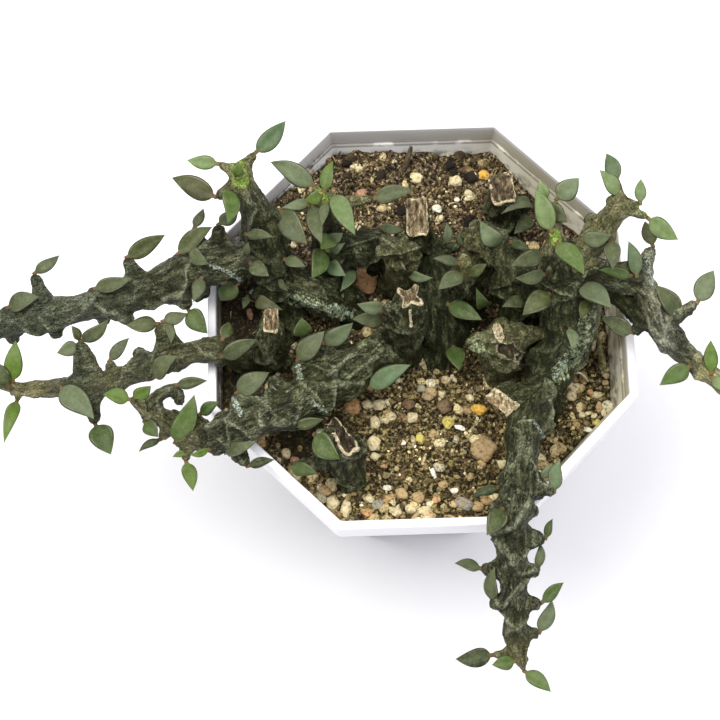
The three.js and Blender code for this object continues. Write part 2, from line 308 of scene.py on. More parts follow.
LIP = 0.5 * MM
LEDGE = 0.6 * MM
outer_profile = [
    (BASE_HALF - FOOT_INSET, 0),
    *lip(BASE_HALF - FOOT_ROUNDING, FOOT_ROUNDING, FOOT_ROUNDING, -90, 0),
    (BODY_TOP_HALF - 0.2 * MM, COLLAR_FOOT - 0.5 * MM),
    (BODY_TOP_HALF, COLLAR_FOOT),
    *lip(RIM_HALF - LIP, COLLAR_FOOT + LIP, LIP, -90, 0),
    *lip(RIM_HALF - LIP, rim_height - LIP, LIP, 0, 90),
]
inner_profile = [
    *lip(RIM_HALF - RIM_WALL + LIP, rim_height - LIP, LIP, 90, 180),
    (RIM_HALF - RIM_WALL, LEDGE_HEIGHT + 0.2 * MM),
    (RIM_HALF - RIM_WALL - 0.15 * MM, LEDGE_HEIGHT),
    (RIM_HALF - RIM_WALL - LEDGE + 0.15 * MM, LEDGE_HEIGHT - 0.1 * MM),
    (RIM_HALF - RIM_WALL - LEDGE, LEDGE_HEIGHT - 0.4 * MM),
    (inner_half(FLOOR_THICKNESS + FLOOR_FILLET), FLOOR_THICKNESS + FLOOR_FILLET),
    (inner_half(FLOOR_THICKNESS) - FLOOR_FILLET, FLOOR_THICKNESS),
]
pot_build = skin([octagon(half, height, OUTER_CORNER) for half, height in outer_profile]
                 + [octagon(half, height, INNER_CORNER) for half, height in inner_profile])
pot_shell = add_object("pot_shell", mesh_from(pot_build, "pot_shell"))


def evaluated(source, name):
    """A plain mesh of an object with its modifiers applied."""
    graph = bpy.context.evaluated_depsgraph_get()
    mesh = bpy.data.meshes.new_from_object(source.evaluated_get(graph))
    mesh.name = name
    return mesh


def replace_mesh(source, mesh):
    source.modifiers.clear()
    source.data = mesh


drill_build = bmesh.new()
for k in range(DRAIN_COUNT):
    turn = (k + 0.5) * 2 * math.pi / DRAIN_COUNT
    centre = Vector((math.cos(turn) * DRAIN_RING, math.sin(turn) * DRAIN_RING, 0))
    bmesh.ops.create_cone(drill_build, cap_ends=True, segments=DRAIN_SIDES, radius1=DRAIN_RADIUS,
                          radius2=DRAIN_RADIUS, depth=3 * FLOOR_THICKNESS,
                          matrix=Matrix.Translation(centre))
drill = add_object("drill", mesh_from(drill_build, "drill"))
holes = pot_shell.modifiers.new("holes", "BOOLEAN")
holes.operation = "DIFFERENCE"
holes.object = drill
replace_mesh(pot_shell, evaluated(pot_shell, "pot_shell"))
bpy.data.objects.remove(drill)
smooth(pot_shell.data)
pot_shell.data.set_sharp_from_angle(angle=SHARP_ANGLE)

FILM_REACH = (-10 * MM, 42 * MM)
LEFT_WALL_SHADE_REACH = (-47 * MM, -43 * MM)
SMEAR_REACH = (-30 * MM, -18 * MM)
SMEAR_HEIGHTS = (rim_height - 8 * MM, rim_height - 3 * MM)
DIRT_HEIGHTS = (rim_height - 13 * MM, rim_height - 8.5 * MM)

white = Paint("pot_plastic")
white_place = white.node("ShaderNodeTexCoord", {}, out=3)
high = white.part(white_place, 2)
across = white.part(white_place, 0)
below = 1 - white.span(high, rim_height - 2.5 * MM, rim_height - 1 * MM)
outward = white.node("ShaderNodeNewGeometry", {}, out=1)
faced_out = white.vector_math("DOT_PRODUCT", outward, white.place((1, 1, 0)), out=1)
facing_in = white.span(faced_out * -1, 0.0, 0.01)
ledge_gap = abs(high - (LEDGE_HEIGHT - 0.2 * MM))
ledge_top = white.span(white.part(outward, 2), 0.5, 0.9) * (
    1 - white.span(ledge_gap, 0.6 * MM, 1.2 * MM))
inner = white.span(facing_in + ledge_top, 0, 1) * below
streaky = white.noise(60, 4, white.place((1, 1, 0.4)), 0.55)
film = inner * (white.span(across, *FILM_REACH) * 0.85 + 0.15)
film *= white.span(streaky, 0.25, 0.6) * 0.4 + 0.6
dirt_band = 1 - white.span(high, *DIRT_HEIGHTS)
# Painted shade: the inner west wall is darkened where the stems over it shade it.
left_wall_shade = (1 - white.span(across, *LEFT_WALL_SHADE_REACH)) * 0.9
back_left = (1 - white.span(across, *SMEAR_REACH)) * (1 - white.span(high, *SMEAR_HEIGHTS))
smears = back_left * white.span(white.noise(420, 5, roughness=0.7), 0.5, 0.58) * 0.9
# Real dirt near the soil line and smears at the back, together with the painted shade on the west wall.
dirt_and_shade = inner * (dirt_band * white.span(white.noise(260, 5), 0.42, 0.6) + left_wall_shade + smears)
ledge_line = inner * (1 - white.span(ledge_gap, 0.3 * MM, 0.9 * MM))
ledge_line *= white.span(white.noise(300, 4), 0.35, 0.5)
haze = white.noise(35, 3)
plastic = white.ramp(haze, (0.3, (0.78, 0.78, 0.8)), (0.7, (0.82, 0.82, 0.83)))
filmed = white.mix(film, plastic, (0.52, 0.485, 0.34))
scuffs = white.noise(900, 2)
pot_shell.data.materials.append(white.finish(
    Base_Color=white.mix(dirt_and_shade * 0.8 + ledge_line * 0.6, filmed, (0.09, 0.07, 0.038)),
    Roughness=white.span(haze, 0.2, 0.8) * 0.1 + film * 0.2 + 0.42,
    IOR=1.49,
    Specular_IOR_Level=0.4,
    Subsurface_Weight=0.05,
    Subsurface_Radius=(1, 1, 1),
    Subsurface_Scale=0.002,
    Normal=white.bump(scuffs, 0.04, 0.0002)))
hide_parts("pot")
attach(pot_shell, "root")


# The potting mix is peat that holds pumice, perlite and tan, orange and grey grit. Its body fills
# the pot to below the ledge and falls a little to the right. Its top is lumpy, and peaty at the back.
SOIL_EDGE_DEPTH = 12 * MM
SOIL_HEAP = 2 * MM
SOIL_FALL = 0.085
CLEARANCE = 0.3 * MM
SOIL_RINGS = 110
SOIL_SPOKES = 320
SOIL_EDGE_SHARE = 0.998
SOIL_FOOT_INSET = 1 * MM
BANK_TOP_DEPTH = 8 * MM
BANK_HEIGHT = 4.5
PEAT_EDGE = 8 * MM
GRAVEL_EDGE = -10 * MM
RIGHT_GRAVEL = (26 * MM, 34 * MM)
RIGHT_GRAVEL_BACK = 14 * MM
DAMP_AND_SHADE_WEST = (-38 * MM, -25 * MM)
DAMP_AND_SHADE_FRONT = (-24 * MM, -12 * MM)
DAMP_AND_SHADE_FOOT_REACH = (6 * MM, 11 * MM)
DAMP_AND_SHADE_FOOT = (-26.5 * MM, -24 * MM)
soil_top = rim_height - SOIL_EDGE_DEPTH


def rising(value, low, high):
    """0 below low and 1 over high, with a smooth rise between them."""
    share = min(1, max(0, (value - low) / (high - low)))
    return share * share * (3 - 2 * share)


def soil_level(x, y):
    """Height of the mix without its lumps."""
    reach = min(1, math.hypot(x, y) / inner_half(soil_top))
    return soil_top + SOIL_HEAP * (1 - reach ** 2) - SOIL_FALL * x


def gravel_share(x, y):
    """1 where the top is light grit, in front and on the right, and 0 where it is dark peat."""
    wander = noise.noise(Vector((x * 55, y * 55, 1))) * 6 * MM
    front = 1 - rising(y + wander, GRAVEL_EDGE, PEAT_EDGE)
    right = rising(x, *RIGHT_GRAVEL) * (1 - rising(y, 0, RIGHT_GRAVEL_BACK))
    return max(front, right)


def damp_and_shade_share(x, y):
    """1 where the mix is painted dark, for wet peat and for the shade of the stems over it: at the west wall
    and round the pruned foot in front.
    """
    wander = noise.noise(Vector((x * 90, y * 90, 6))) * 5 * MM
    west_wall = (1 - rising(x + wander, *DAMP_AND_SHADE_WEST)) * rising(y + wander, *DAMP_AND_SHADE_FRONT)
    foot_gap = math.hypot(x - DAMP_AND_SHADE_FOOT[0], y - DAMP_AND_SHADE_FOOT[1])
    return max(west_wall, 1 - rising(foot_gap + wander * 0.6, *DAMP_AND_SHADE_FOOT_REACH))


def soil_lumps(x, y, share):
    """Clods and crumbs, and peat banked up against the back wall."""
    peaty = 1 - gravel_share(x, y)
    clods = noise.fractal(Vector((x * 170, y * 170, 3)), 0.9, 2, 4) * (0.5 + 0.8 * peaty)
    crumbs = noise.fractal(Vector((x * 800, y * 800, 8)), 0.8, 2, 3) * (0.3 + 0.25 * peaty)
    bank = max(0, noise.noise(Vector((x * 75, 5, 2))) + 0.25) * BANK_HEIGHT
    bank *= rising(share, 0.84, 1) * rising(y, 0, 30 * MM)
    return (clods + crumbs + bank) * MM


def soil_ring(share):
    ring = []
    for k in range(SOIL_SPOKES):
        turn = k * 2 * math.pi / SOIL_SPOKES
        eighth = math.pi / POT_SIDES
        reach = share / math.cos((turn + eighth) % (2 * eighth) - eighth)
        flat = Vector((math.cos(turn), math.sin(turn))) * reach
        guess = flat * (inner_half(soil_top) - CLEARANCE)
        height = soil_level(*guess) + soil_lumps(*guess, share)
        place = flat * (inner_half(min(height, rim_height - BANK_TOP_DEPTH)) - CLEARANCE)
        ring.append(Vector((place.x, place.y, height)))
    return ring


soil_edge = soil_ring(SOIL_EDGE_SHARE)
foot = FLOOR_THICKNESS + CLEARANCE
foot_half = inner_half(foot) - SOIL_FOOT_INSET
soil_foot = [point * (foot_half / inner_half(point.z)) for point in soil_edge]
soil_rings = [[Vector((point.x, point.y, foot)) for point in soil_foot], soil_edge]
soil_rings += [soil_ring(SOIL_EDGE_SHARE * (1 - k / SOIL_RINGS)) for k in range(1, SOIL_RINGS)]
soil_build = skin(soil_rings)
soil_mesh = mesh_from(soil_build, "potting_mix")
potting_mix = add_object("potting_mix", soil_mesh)
smooth(soil_mesh)


def attribute(mesh, name, values, kind="FLOAT"):
    """Values kept on a mesh's points for its material or for a Geometry Nodes tree."""
    field = "value" if kind == "FLOAT" else "vector"
    mesh.attributes.new(name, kind, "POINT").data.foreach_set(field, np.asarray(values, float).ravel())


for label, share_at in (("gravel", gravel_share), ("damp", damp_and_shade_share)):
    attribute(soil_mesh, label, [share_at(vertex.co.x, vertex.co.y) for vertex in soil_mesh.vertices])
peat = Paint("peat")
peat_grain = peat.noise(1100, 7, roughness=0.75)
peat_patches = peat.noise(240, 4)
# The lowest stops run nearly black. This is dark peat, and also painted shade in the gaps between the strewn
# stones, where the mix shows through.
peat_and_gap_shade = peat.ramp(peat_grain, (0.42, (0.007, 0.0047, 0.0024)), (0.49, (0.05, 0.034, 0.018)),
                        (0.56, (0.19, 0.135, 0.077)), (0.63, (0.54, 0.45, 0.29)))
sand_and_gap_shade = peat.ramp(peat_grain, (0.42, (0.008, 0.006, 0.002)), (0.49, (0.055, 0.041, 0.014)),
                 (0.56, (0.21, 0.16, 0.06)), (0.65, (0.55, 0.46, 0.22)))
gravelly = peat.attribute("gravel") * 0.6 + peat.span(peat_patches, 0.4, 0.6) * 0.4
lit_dry_peat = peat.mix(gravelly, peat_and_gap_shade, sand_and_gap_shade)
soil_mesh.materials.append(peat.finish(
    # Painted shade and wet peat: the damp-and-shade share darkens the peat at the west wall and round the
    # pruned foot, where stems shade it.
    Base_Color=peat.mix(peat.attribute("damp") * 0.8, lit_dry_peat, (0.02, 0.017, 0.009)),
    Roughness=peat.span(peat_grain, 0, 1) * 0.15 + 0.82,
    Specular_IOR_Level=0.12,
    Normal=peat.bump(peat_grain, 1.0, 0.001)))
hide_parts("soil")
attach(potting_mix, "root")


# The stones that stand out are placed one by one: picture x and y, long and short side in picture
# points, turn in degrees and colour. Each lies half sunk in the mix.
STONE_COLOURS = {
    "cream": (0.62, 0.55, 0.36), "white": (0.8, 0.79, 0.72), "tan": (0.42, 0.31, 0.17),
    "brown": (0.16, 0.11, 0.065), "orange": (0.56, 0.33, 0.17), "yellow": (0.52, 0.45, 0.13),
    "pink": (0.42, 0.24, 0.17), "grey": (0.3, 0.29, 0.25), "amber": (0.66, 0.4, 0.08),
    "red": (0.25, 0.12, 0.08), "rust": (0.34, 0.25, 0.14),
}
PICKED_STONES = [
    (353, 407, 18, 17, 0, "orange"), (367, 405, 11, 10, 0, "cream"), (379, 405, 13, 11, 0, "cream"),
    (375, 423, 15, 11, 80, "cream"), (412, 418, 12, 11, 60, "cream"), (430, 393, 13, 11, 0, "tan"),
    (421, 389, 10, 9, 0, "grey"), (408, 404, 13, 12, 20, "brown"), (444, 407, 15, 13, 0, "brown"),
    (446, 380, 10, 9, 0, "cream"), (374, 444, 16, 13, 75, "cream"), (375, 457, 10, 8, 0, "cream"),
    (403, 443, 7, 6, 0, "white"), (420, 439, 12, 9, 80, "yellow"), (448, 423, 13, 11, 60, "yellow"),
    (479, 410, 17, 12, 10, "amber"), (470, 398, 9, 7, 30, "cream"), (483, 449, 27, 25, 20, "rust"),
    (433, 473, 15, 6, 70, "white"), (331, 484, 12, 11, 0, "cream"), (325, 491, 13, 10, 30, "tan"),
    (333, 503, 16, 14, 60, "cream"), (346, 509, 18, 11, 100, "cream"), (362, 505, 6, 5, 0, "white"),
    (367, 512, 13, 10, 20, "orange"), (369, 499, 11, 9, 0, "cream"), (378, 505, 12, 10, 0, "grey"),
    (396, 512, 13, 10, 20, "cream"), (402, 494, 14, 11, 40, "tan"), (411, 509, 11, 9, 0, "cream"),
    (418, 498, 14, 11, 10, "tan"), (425, 511, 15, 9, 0, "cream"), (443, 485, 10, 8, 0, "tan"),
    (454, 491, 9, 6, 0, "white"), (464, 504, 20, 13, 20, "grey"), (478, 507, 13, 10, 0, "tan"),
    (494, 497, 11, 9, 0, "cream"), (460, 428, 12, 6, 20, "white"), (503, 465, 11, 9, 0, "cream"),
    (387, 488, 10, 6, 10, "white"), (436, 500, 9, 7, 0, "orange"), (352, 493, 9, 7, 0, "tan"),
    (571, 396, 12, 12, 10, "cream"), (590, 392, 6, 6, 0, "orange"), (597, 395, 11, 6, 0, "cream"),
    (599, 407, 12, 7, 100, "tan"), (582, 415, 7, 6, 0, "cream"), (588, 413, 6, 5, 0, "cream"),
    (594, 416, 7, 6, 0, "cream"), (597, 423, 9, 7, 0, "yellow"), (603, 413, 9, 6, 80, "cream"),
    (607, 370, 7, 6, 0, "cream"), (606, 376, 7, 6, 0, "cream"), (605, 383, 7, 6, 0, "tan"),
    (583, 364, 8, 5, 10, "cream"), (588, 430, 9, 5, 10, "white"), (576, 425, 8, 6, 0, "tan"),
    (416, 179, 14, 13, 0, "cream"), (455, 182, 13, 12, 0, "cream"), (437, 209, 10, 9, 0, "white"),
    (440, 219, 9, 8, 0, "cream"), (468, 194, 9, 8, 0, "cream"), (484, 176, 12, 11, 0, "amber"),
    (457, 200, 6, 5, 0, "white"), (450, 193, 5, 4, 0, "white"), (392, 163, 10, 8, 100, "cream"),
    (357, 168, 15, 10, 20, "cream"), (370, 165, 10, 8, 0, "tan"), (361, 195, 12, 10, 0, "pink"),
    (295, 460, 10, 7, 0, "pink"), (250, 314, 12, 6, 80, "pink"), (276, 388, 12, 9, 100, "red"),
    (278, 374, 5, 4, 0, "white"), (350, 295, 14, 9, 10, "red"), (366, 281, 28, 22, 80, "orange"),
]
STONE_SEAT = 0.3
STONE_BLOCKINESS = (2.2, 3, 4.5)
BIG_STONE = 24
BIG_STONE_BLOCKINESS = 7
BIG_STONE_HEIGHT = 0.45
STONE_HEIGHT = 0.8
STONE_DENT = 0.26
SEAT_STEPS = 4


def on_mix(x, y):
    """The place on the mix seen at x, y."""
    rise = -SOIL_EDGE_DEPTH
    for _ in range(SEAT_STEPS):
        place = spot(x, y, rise / MM)
        rise = soil_level(place.x, place.y) - rim_height
    return spot(x, y, rise / MM)


picked_build = bmesh.new()
picked_tones = []
picked_spots = []
for number, (x, y, long, short, turn, colour) in enumerate(PICKED_STONES):
    place = on_mix(x, y)
    scale = (place - camera_place).length / FOCAL_PIXELS / 2
    small = long < BIG_STONE
    height_share = STONE_HEIGHT if small else BIG_STONE_HEIGHT
    size = Vector((long * scale, short * scale, height_share * short * scale))
    made = bmesh.ops.create_icosphere(picked_build, subdivisions=3, radius=1)["verts"]
    spin = Matrix.Rotation(-math.radians(turn), 3, "Z")
    power = STONE_BLOCKINESS[number % 3] if small else BIG_STONE_BLOCKINESS
    tumble = Euler((number * 1.3, number * 2.1, 0) if small else (0, 0.1, 0.3)).to_matrix()
    for vertex in made:
        dent = noise.fractal(vertex.co * 1.4 + Vector((number * 7.3, 0, 0)), 0.9, 2, 3)
        faced = tumble @ vertex.co
        blocky = sum(abs(part) ** power for part in faced) ** (-1 / power)
        rounded = vertex.co * (0.3 + 0.62 * blocky) * (1 + STONE_DENT * dent)
        shaped = spin @ Vector((rounded.x * size.x, rounded.y * size.y, rounded.z * size.z))
        vertex.co = place + shaped + Vector((0, 0, STONE_SEAT * size.z))
    picked_tones += [STONE_COLOURS[colour]] * len(made)
    picked_spots.append((place.x, place.y, size.x))
picked_mesh = mesh_from(picked_build, "picked_stones")
attribute(picked_mesh, "tone", picked_tones, "FLOAT_VECTOR")
smooth(picked_mesh)
picked = Paint("picked_stone")
picked_grain = picked.noise(1300, 5, roughness=0.7)
picked_cloud = picked.noise(420, 3)
picked_shade = picked.ramp(picked_grain, (0.36, (0.3, 0.24, 0.16)), (0.48, (0.84, 0.8, 0.68)),
                           (0.6, (1, 1, 0.9)))
picked_stain = picked.mix(picked.span(picked_cloud, 0.5, 0.68) * 0.4, picked.attribute("tone", 1),
                          (0.3, 0.19, 0.09))
picked_mesh.materials.append(picked.finish(
    Base_Color=picked.mix(0.9, picked_stain, picked_shade, "MULTIPLY"),
    Roughness=picked.span(picked_grain, 0, 1) * 0.2 + 0.72,
    Specular_IOR_Level=0.3,
    Normal=picked.bump(picked_grain, 0.8, 0.0005)))
picked_stones = add_object("picked_stones", picked_mesh)
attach(picked_stones, "root")


# Loose grit, crumbs and plant fibres lie on the mix, strewn by Geometry Nodes: pale pumice thickest
# along the front wall, grit in front and on the right, and dark peat with brown fibres at the back.
class Tree:
    """A Geometry Nodes tree with named inputs for its sizes."""

    def __init__(self, name, **sizes):
        self.group = bpy.data.node_groups.new(name, "GeometryNodeTree")
        face = self.group.interface
        face.new_socket("Geometry", in_out="INPUT", socket_type="NodeSocketGeometry")
        for key, value in sizes.items():
            kind = "NodeSocketInt" if isinstance(value, int) else "NodeSocketFloat"
            face.new_socket(key, in_out="INPUT", socket_type=kind)
        face.new_socket("Geometry", in_out="OUTPUT", socket_type="NodeSocketGeometry")
        self.entry = self.group.nodes.new("NodeGroupInput").outputs
        self.sizes = sizes

    def node(self, kind, settings=None, **named):
        """Any node, its settings first and then its sockets, by name or by s and a number."""
        made = self.group.nodes.new(kind)
        for key, setting in (settings or {}).items():
            setattr(made, key, setting)
        for key, value in named.items():
            spot_number = key[1:].isdigit()
            socket = made.inputs[int(key[1:]) if spot_number else key.replace("_", " ")]
            if isinstance(value, bpy.types.NodeSocket):
                self.group.links.new(value, socket)
            else:
                socket.default_value = value
        return made

    def close(self, geometry):
        end = self.group.nodes.new("NodeGroupOutput")
        self.group.links.new(geometry, end.inputs["Geometry"])

    def apply(self, source, name):
        """The tree's result on an object, as a plain mesh."""
        modifier = source.modifiers.new(name, "NODES")
        modifier.node_group = self.group
        for item in self.group.interface.items_tree:
            if item.in_out == "INPUT" and item.name in self.sizes:
                modifier[item.identifier] = self.sizes[item.name]
        made = evaluated(source, name)
        source.modifiers.remove(modifier)
        return made


TOP_SLOPE = 0.15
TOP_LOWEST = 60 * MM
STONE_KEEP_OFF = 0.35
DAMP_AND_SHADE_THINNING = 0.8
FRONT_BANK = (20 * MM, 34 * MM)
WALL_BANK = (0.8, 0.93)

top_build = bmesh.new()
top_build.from_mesh(soil_mesh)
sides = [face for face in top_build.faces
         if face.normal.z < TOP_SLOPE or face.calc_center_median().z < TOP_LOWEST]
bmesh.ops.delete(top_build, geom=sides, context="FACES")
top_mesh = mesh_from(top_build, "top_patch")
top_places = [vertex.co for vertex in top_mesh.vertices]
shares = [max(abs(p.x), abs(p.y), (abs(p.x) + abs(p.y)) * math.sqrt(0.5)) / inner_half(p.z)
          for p in top_places]
bare = np.ones(len(top_places))
for x, y, half in picked_spots:
    gap = np.array([math.hypot(p.x - x, p.y - y) for p in top_places])
    bare = np.minimum(bare, np.clip(gap / half - STONE_KEEP_OFF, 0, 1))
dry = np.array([1 - DAMP_AND_SHADE_THINNING * damp_and_shade_share(p.x, p.y) for p in top_places])
gravel = np.array([gravel_share(p.x, p.y) for p in top_places])
banked = np.array([rising(share, *WALL_BANK) * rising(-p.y, *FRONT_BANK)
                   for p, share in zip(top_places, shares)])
attribute(top_mesh, "peaty", (1 - gravel) * dry * bare)
attribute(top_mesh, "pumice", (gravel * (0.3 + 1.5 * banked) + 0.1) * dry * bare)
attribute(top_mesh, "everywhere", dry)
top_patch = add_object("top_patch", top_mesh)


def strew(name, shape, tree, seed, where, material, low_scale, high_scale, lean, dents):
    """Copies of a shape over the mix, each with its own size, turn and tint, in one mesh."""
    entry = tree.entry
    local = tree.node("GeometryNodeInputNamedAttribute", {"data_type": "FLOAT"}, Name=where)
    density = tree.node("ShaderNodeMath", {"operation": "MULTIPLY"}, s0=entry["Density"],
                        s1=local.outputs[0])
    spread = tree.node("GeometryNodeDistributePointsOnFaces", Mesh=entry["Geometry"], Seed=entry["Seed"],
                       Density=density.outputs[0])
    size = tree.node("FunctionNodeRandomValue", s2=entry["Smallest"], s3=entry["Largest"],
                     Seed=entry["Seed"])
    squash = tree.node("FunctionNodeRandomValue", {"data_type": "FLOAT_VECTOR"}, s0=low_scale, s1=high_scale,
                       Seed=seed + 1)
    scale = tree.node("ShaderNodeVectorMath", {"operation": "SCALE"}, s0=squash.outputs[0],
                      Scale=size.outputs[1])
    turn = tree.node("FunctionNodeRandomValue", {"data_type": "FLOAT_VECTOR"}, s0=(-lean, -lean, 0),
                     s1=(lean, lean, 2 * math.pi), Seed=seed + 2)
    placed = tree.node("GeometryNodeInstanceOnPoints", Points=spread.outputs["Points"], Instance=shape,
                       Rotation=turn.outputs[0], Scale=scale.outputs[0])
    tint = tree.node("FunctionNodeRandomValue", {"data_type": "FLOAT"}, Seed=seed + 3)
    named = tree.node("GeometryNodeStoreNamedAttribute", {"data_type": "FLOAT", "domain": "INSTANCE"},
                      Geometry=placed.outputs["Instances"], Name="tint", Value=tint.outputs[1])
    real = tree.node("GeometryNodeRealizeInstances", Geometry=named.outputs["Geometry"])
    position = tree.node("GeometryNodeInputPosition")
    dent = tree.node("ShaderNodeTexNoise", s0=position.outputs[0], Scale=dents, Detail=2.0)
    centred = tree.node("ShaderNodeVectorMath", {"operation": "SUBTRACT"}, s0=dent.outputs["Color"],
                        s1=(0.5, 0.5, 0.52))
    push = tree.node("ShaderNodeVectorMath", {"operation": "SCALE"}, s0=centred.outputs[0],
                     Scale=0.9 / dents)
    moved = tree.node("GeometryNodeSetPosition", Geometry=real.outputs["Geometry"], Offset=push.outputs[0])
    coated = tree.node("GeometryNodeSetMaterial", Geometry=moved.outputs["Geometry"], Material=material)
    tree.close(coated.outputs["Geometry"])
    found = add_object(name, tree.apply(top_patch, name))
    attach(found, "root")
    return found


def stones(name, density, smallest, largest, flatness, seed, where, material, faces=2):
    tree = Tree(name, Density=float(density), Smallest=smallest, Largest=largest, Seed=seed)
    ball = tree.node("GeometryNodeMeshIcoSphere", Radius=1.0, Subdivisions=faces)
    strew(name, ball.outputs["Mesh"], tree, seed, where, material, low_scale=(0.75, 0.6, flatness),
          high_scale=(1.2, 1.0, 0.95), lean=0.6, dents=0.8 / largest)


def fibres(name, density, smallest, largest, thickness, seed, where, material):
    tree = Tree(name, Density=float(density), Smallest=smallest, Largest=largest, Seed=seed)
    line = tree.node("GeometryNodeCurveQuadraticBezier", Resolution=5, Start=(-1, 0, 0),
                     Middle=(0.1, 0.45, 0.3), End=(1, -0.1, 0))
    section = tree.node("GeometryNodeCurvePrimitiveCircle", Resolution=4, Radius=thickness)
    tube = tree.node("GeometryNodeCurveToMesh", Curve=line.outputs["Curve"],
                     Profile_Curve=section.outputs["Curve"], Fill_Caps=True)
    strew(name, tube.outputs["Mesh"], tree, seed, where, material, low_scale=(0.7, 0.5, 0.4),
          high_scale=(1.2, 1.4, 1.6), lean=0.5, dents=420)


def stone_paint(name, stops, grain, bump, stained=1.0):
    paint = Paint(name)
    patches = paint.ramp(paint.noise(150, 3), (0.42, (0.3, 0.28, 0.25)), (0.57, (1.3, 1.29, 1.25)))
    base = paint.mix(stained, paint.ramp(paint.attribute("tint"), *stops), patches, "MULTIPLY")
    speckle = paint.noise(grain, 4, roughness=0.65)
    shade = paint.ramp(speckle, (0.36, (0.2, 0.15, 0.085)), (0.5, (0.86, 0.82, 0.66)), (0.62, (1, 1, 0.86)))
    return paint.finish(
        Base_Color=paint.mix(0.95, base, shade, "MULTIPLY"),
        Roughness=paint.span(speckle, 0, 1) * 0.2 + 0.75,
        Specular_IOR_Level=0.3,
        Normal=paint.bump(speckle, bump, 0.0004))


pumice = stone_paint("pumice", (
    (0.0, (0.5, 0.38, 0.2)), (0.2, (0.66, 0.56, 0.35)), (0.4, (0.36, 0.25, 0.13)),
    (0.55, (0.74, 0.68, 0.47)), (0.7, (0.26, 0.185, 0.105)), (0.82, (0.5, 0.33, 0.18)),
    (0.92, (0.8, 0.77, 0.62)), (1.0, (0.4, 0.36, 0.28))), grain=1500, bump=0.8, stained=0.0)
grit = stone_paint("grit", (
    (0.0, (0.03, 0.02, 0.009)), (0.3, (0.13, 0.09, 0.04)), (0.5, (0.4, 0.31, 0.16)),
    (0.62, (0.06, 0.041, 0.02)), (0.8, (0.58, 0.5, 0.3)), (0.92, (0.27, 0.24, 0.08)),
    (1.0, (0.85, 0.81, 0.63))), grain=2200, bump=0.8, stained=0.6)
crumb = stone_paint("crumb", (
    (0.0, (0.007, 0.005, 0.0025)), (0.4, (0.05, 0.033, 0.017)), (0.66, (0.22, 0.155, 0.085)),
    (0.83, (0.58, 0.48, 0.3)), (1.0, (0.9, 0.86, 0.68))), grain=3000, bump=0.6)
straw = stone_paint("straw", (
    (0.0, (0.03, 0.019, 0.009)), (0.45, (0.09, 0.059, 0.03)), (0.7, (0.21, 0.15, 0.075)),
    (0.88, (0.5, 0.42, 0.25)), (1.0, (0.07, 0.047, 0.026))), grain=1800, bump=0.5)

stones("pumice_stones", density=60000, smallest=0.9 * MM, largest=1.75 * MM, flatness=0.6, seed=5,
       where="pumice", material=pumice)
stones("grit_stones", density=330000, smallest=0.4 * MM, largest=0.95 * MM, flatness=0.55, seed=17,
       where="pumice", material=grit)
stones("peat_clods", density=26000, smallest=0.7 * MM, largest=1.9 * MM, flatness=0.6, seed=23,
       where="peaty", material=crumb)
stones("peat_crumbs", density=420000, smallest=0.2 * MM, largest=0.55 * MM, flatness=0.5, seed=29,
       where="everywhere", material=crumb, faces=1)
fibres("peat_fibres", density=90000, smallest=0.9 * MM, largest=2.4 * MM, thickness=0.09, seed=41,
       where="peaty", material=straw)
fibres("grit_straws", density=60000, smallest=0.7 * MM, largest=1.9 * MM, thickness=0.11, seed=47,
       where="everywhere", material=straw)
bpy.data.objects.remove(top_patch)


# A short brown twig sticks up at the back wall, and a pale bare root curls on the mix at the right.
STRAND_BEVEL = 3
STRAND_STEPS = 8


def strand(name, rows, colours):
    """A tapering round strand through picture x and y, rise over the rim and half width, both in mm."""
    curve = bpy.data.curves.new(name, "CURVE")
    curve.dimensions = "3D"
    curve.bevel_depth = 1
    curve.bevel_resolution = STRAND_BEVEL
    curve.resolution_u = STRAND_STEPS
    curve.use_fill_caps = True
    spline = curve.splines.new("NURBS")
    spline.points.add(len(rows) - 1)
    spline.use_endpoint_u = True
    spline.order_u = 3
    for point, (x, y, rise, half) in zip(spline.points, rows):
        point.co = (*spot(x, y, rise), 1)
        point.radius = half * MM
    made = add_object(name, curve)
    mesh = evaluated(made, name)
    bpy.data.objects.remove(made)
    smooth(mesh)
    paint = Paint(name)
    fibre = paint.noise(1500, 5, roughness=0.7)
    mesh.materials.append(paint.finish(
        Base_Color=paint.ramp(fibre, (0.36, colours[0]), (0.62, colours[1])),
        Roughness=paint.span(fibre, 0, 1) * 0.2 + 0.6,
        Normal=paint.bump(fibre, 0.8, 0.0004)))
    piece = add_object(name, mesh)
    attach(piece, "root")


strand("twig", [(403, 174, -13, 0.8), (406, 163, -9.5, 0.75), (410, 153, -7.5, 0.7), (411, 147, -6, 0.45)],
       ((0.025, 0.016, 0.009), (0.13, 0.09, 0.05)))
strand("bare_root", [(566, 382, -14.5, 0.3), (571, 375, -11.8, 0.32), (578, 372, -11.2, 0.3),
                     (584, 375, -11.6, 0.26), (588, 381, -14, 0.2)],
       ((0.4, 0.34, 0.22), (0.74, 0.67, 0.5)))


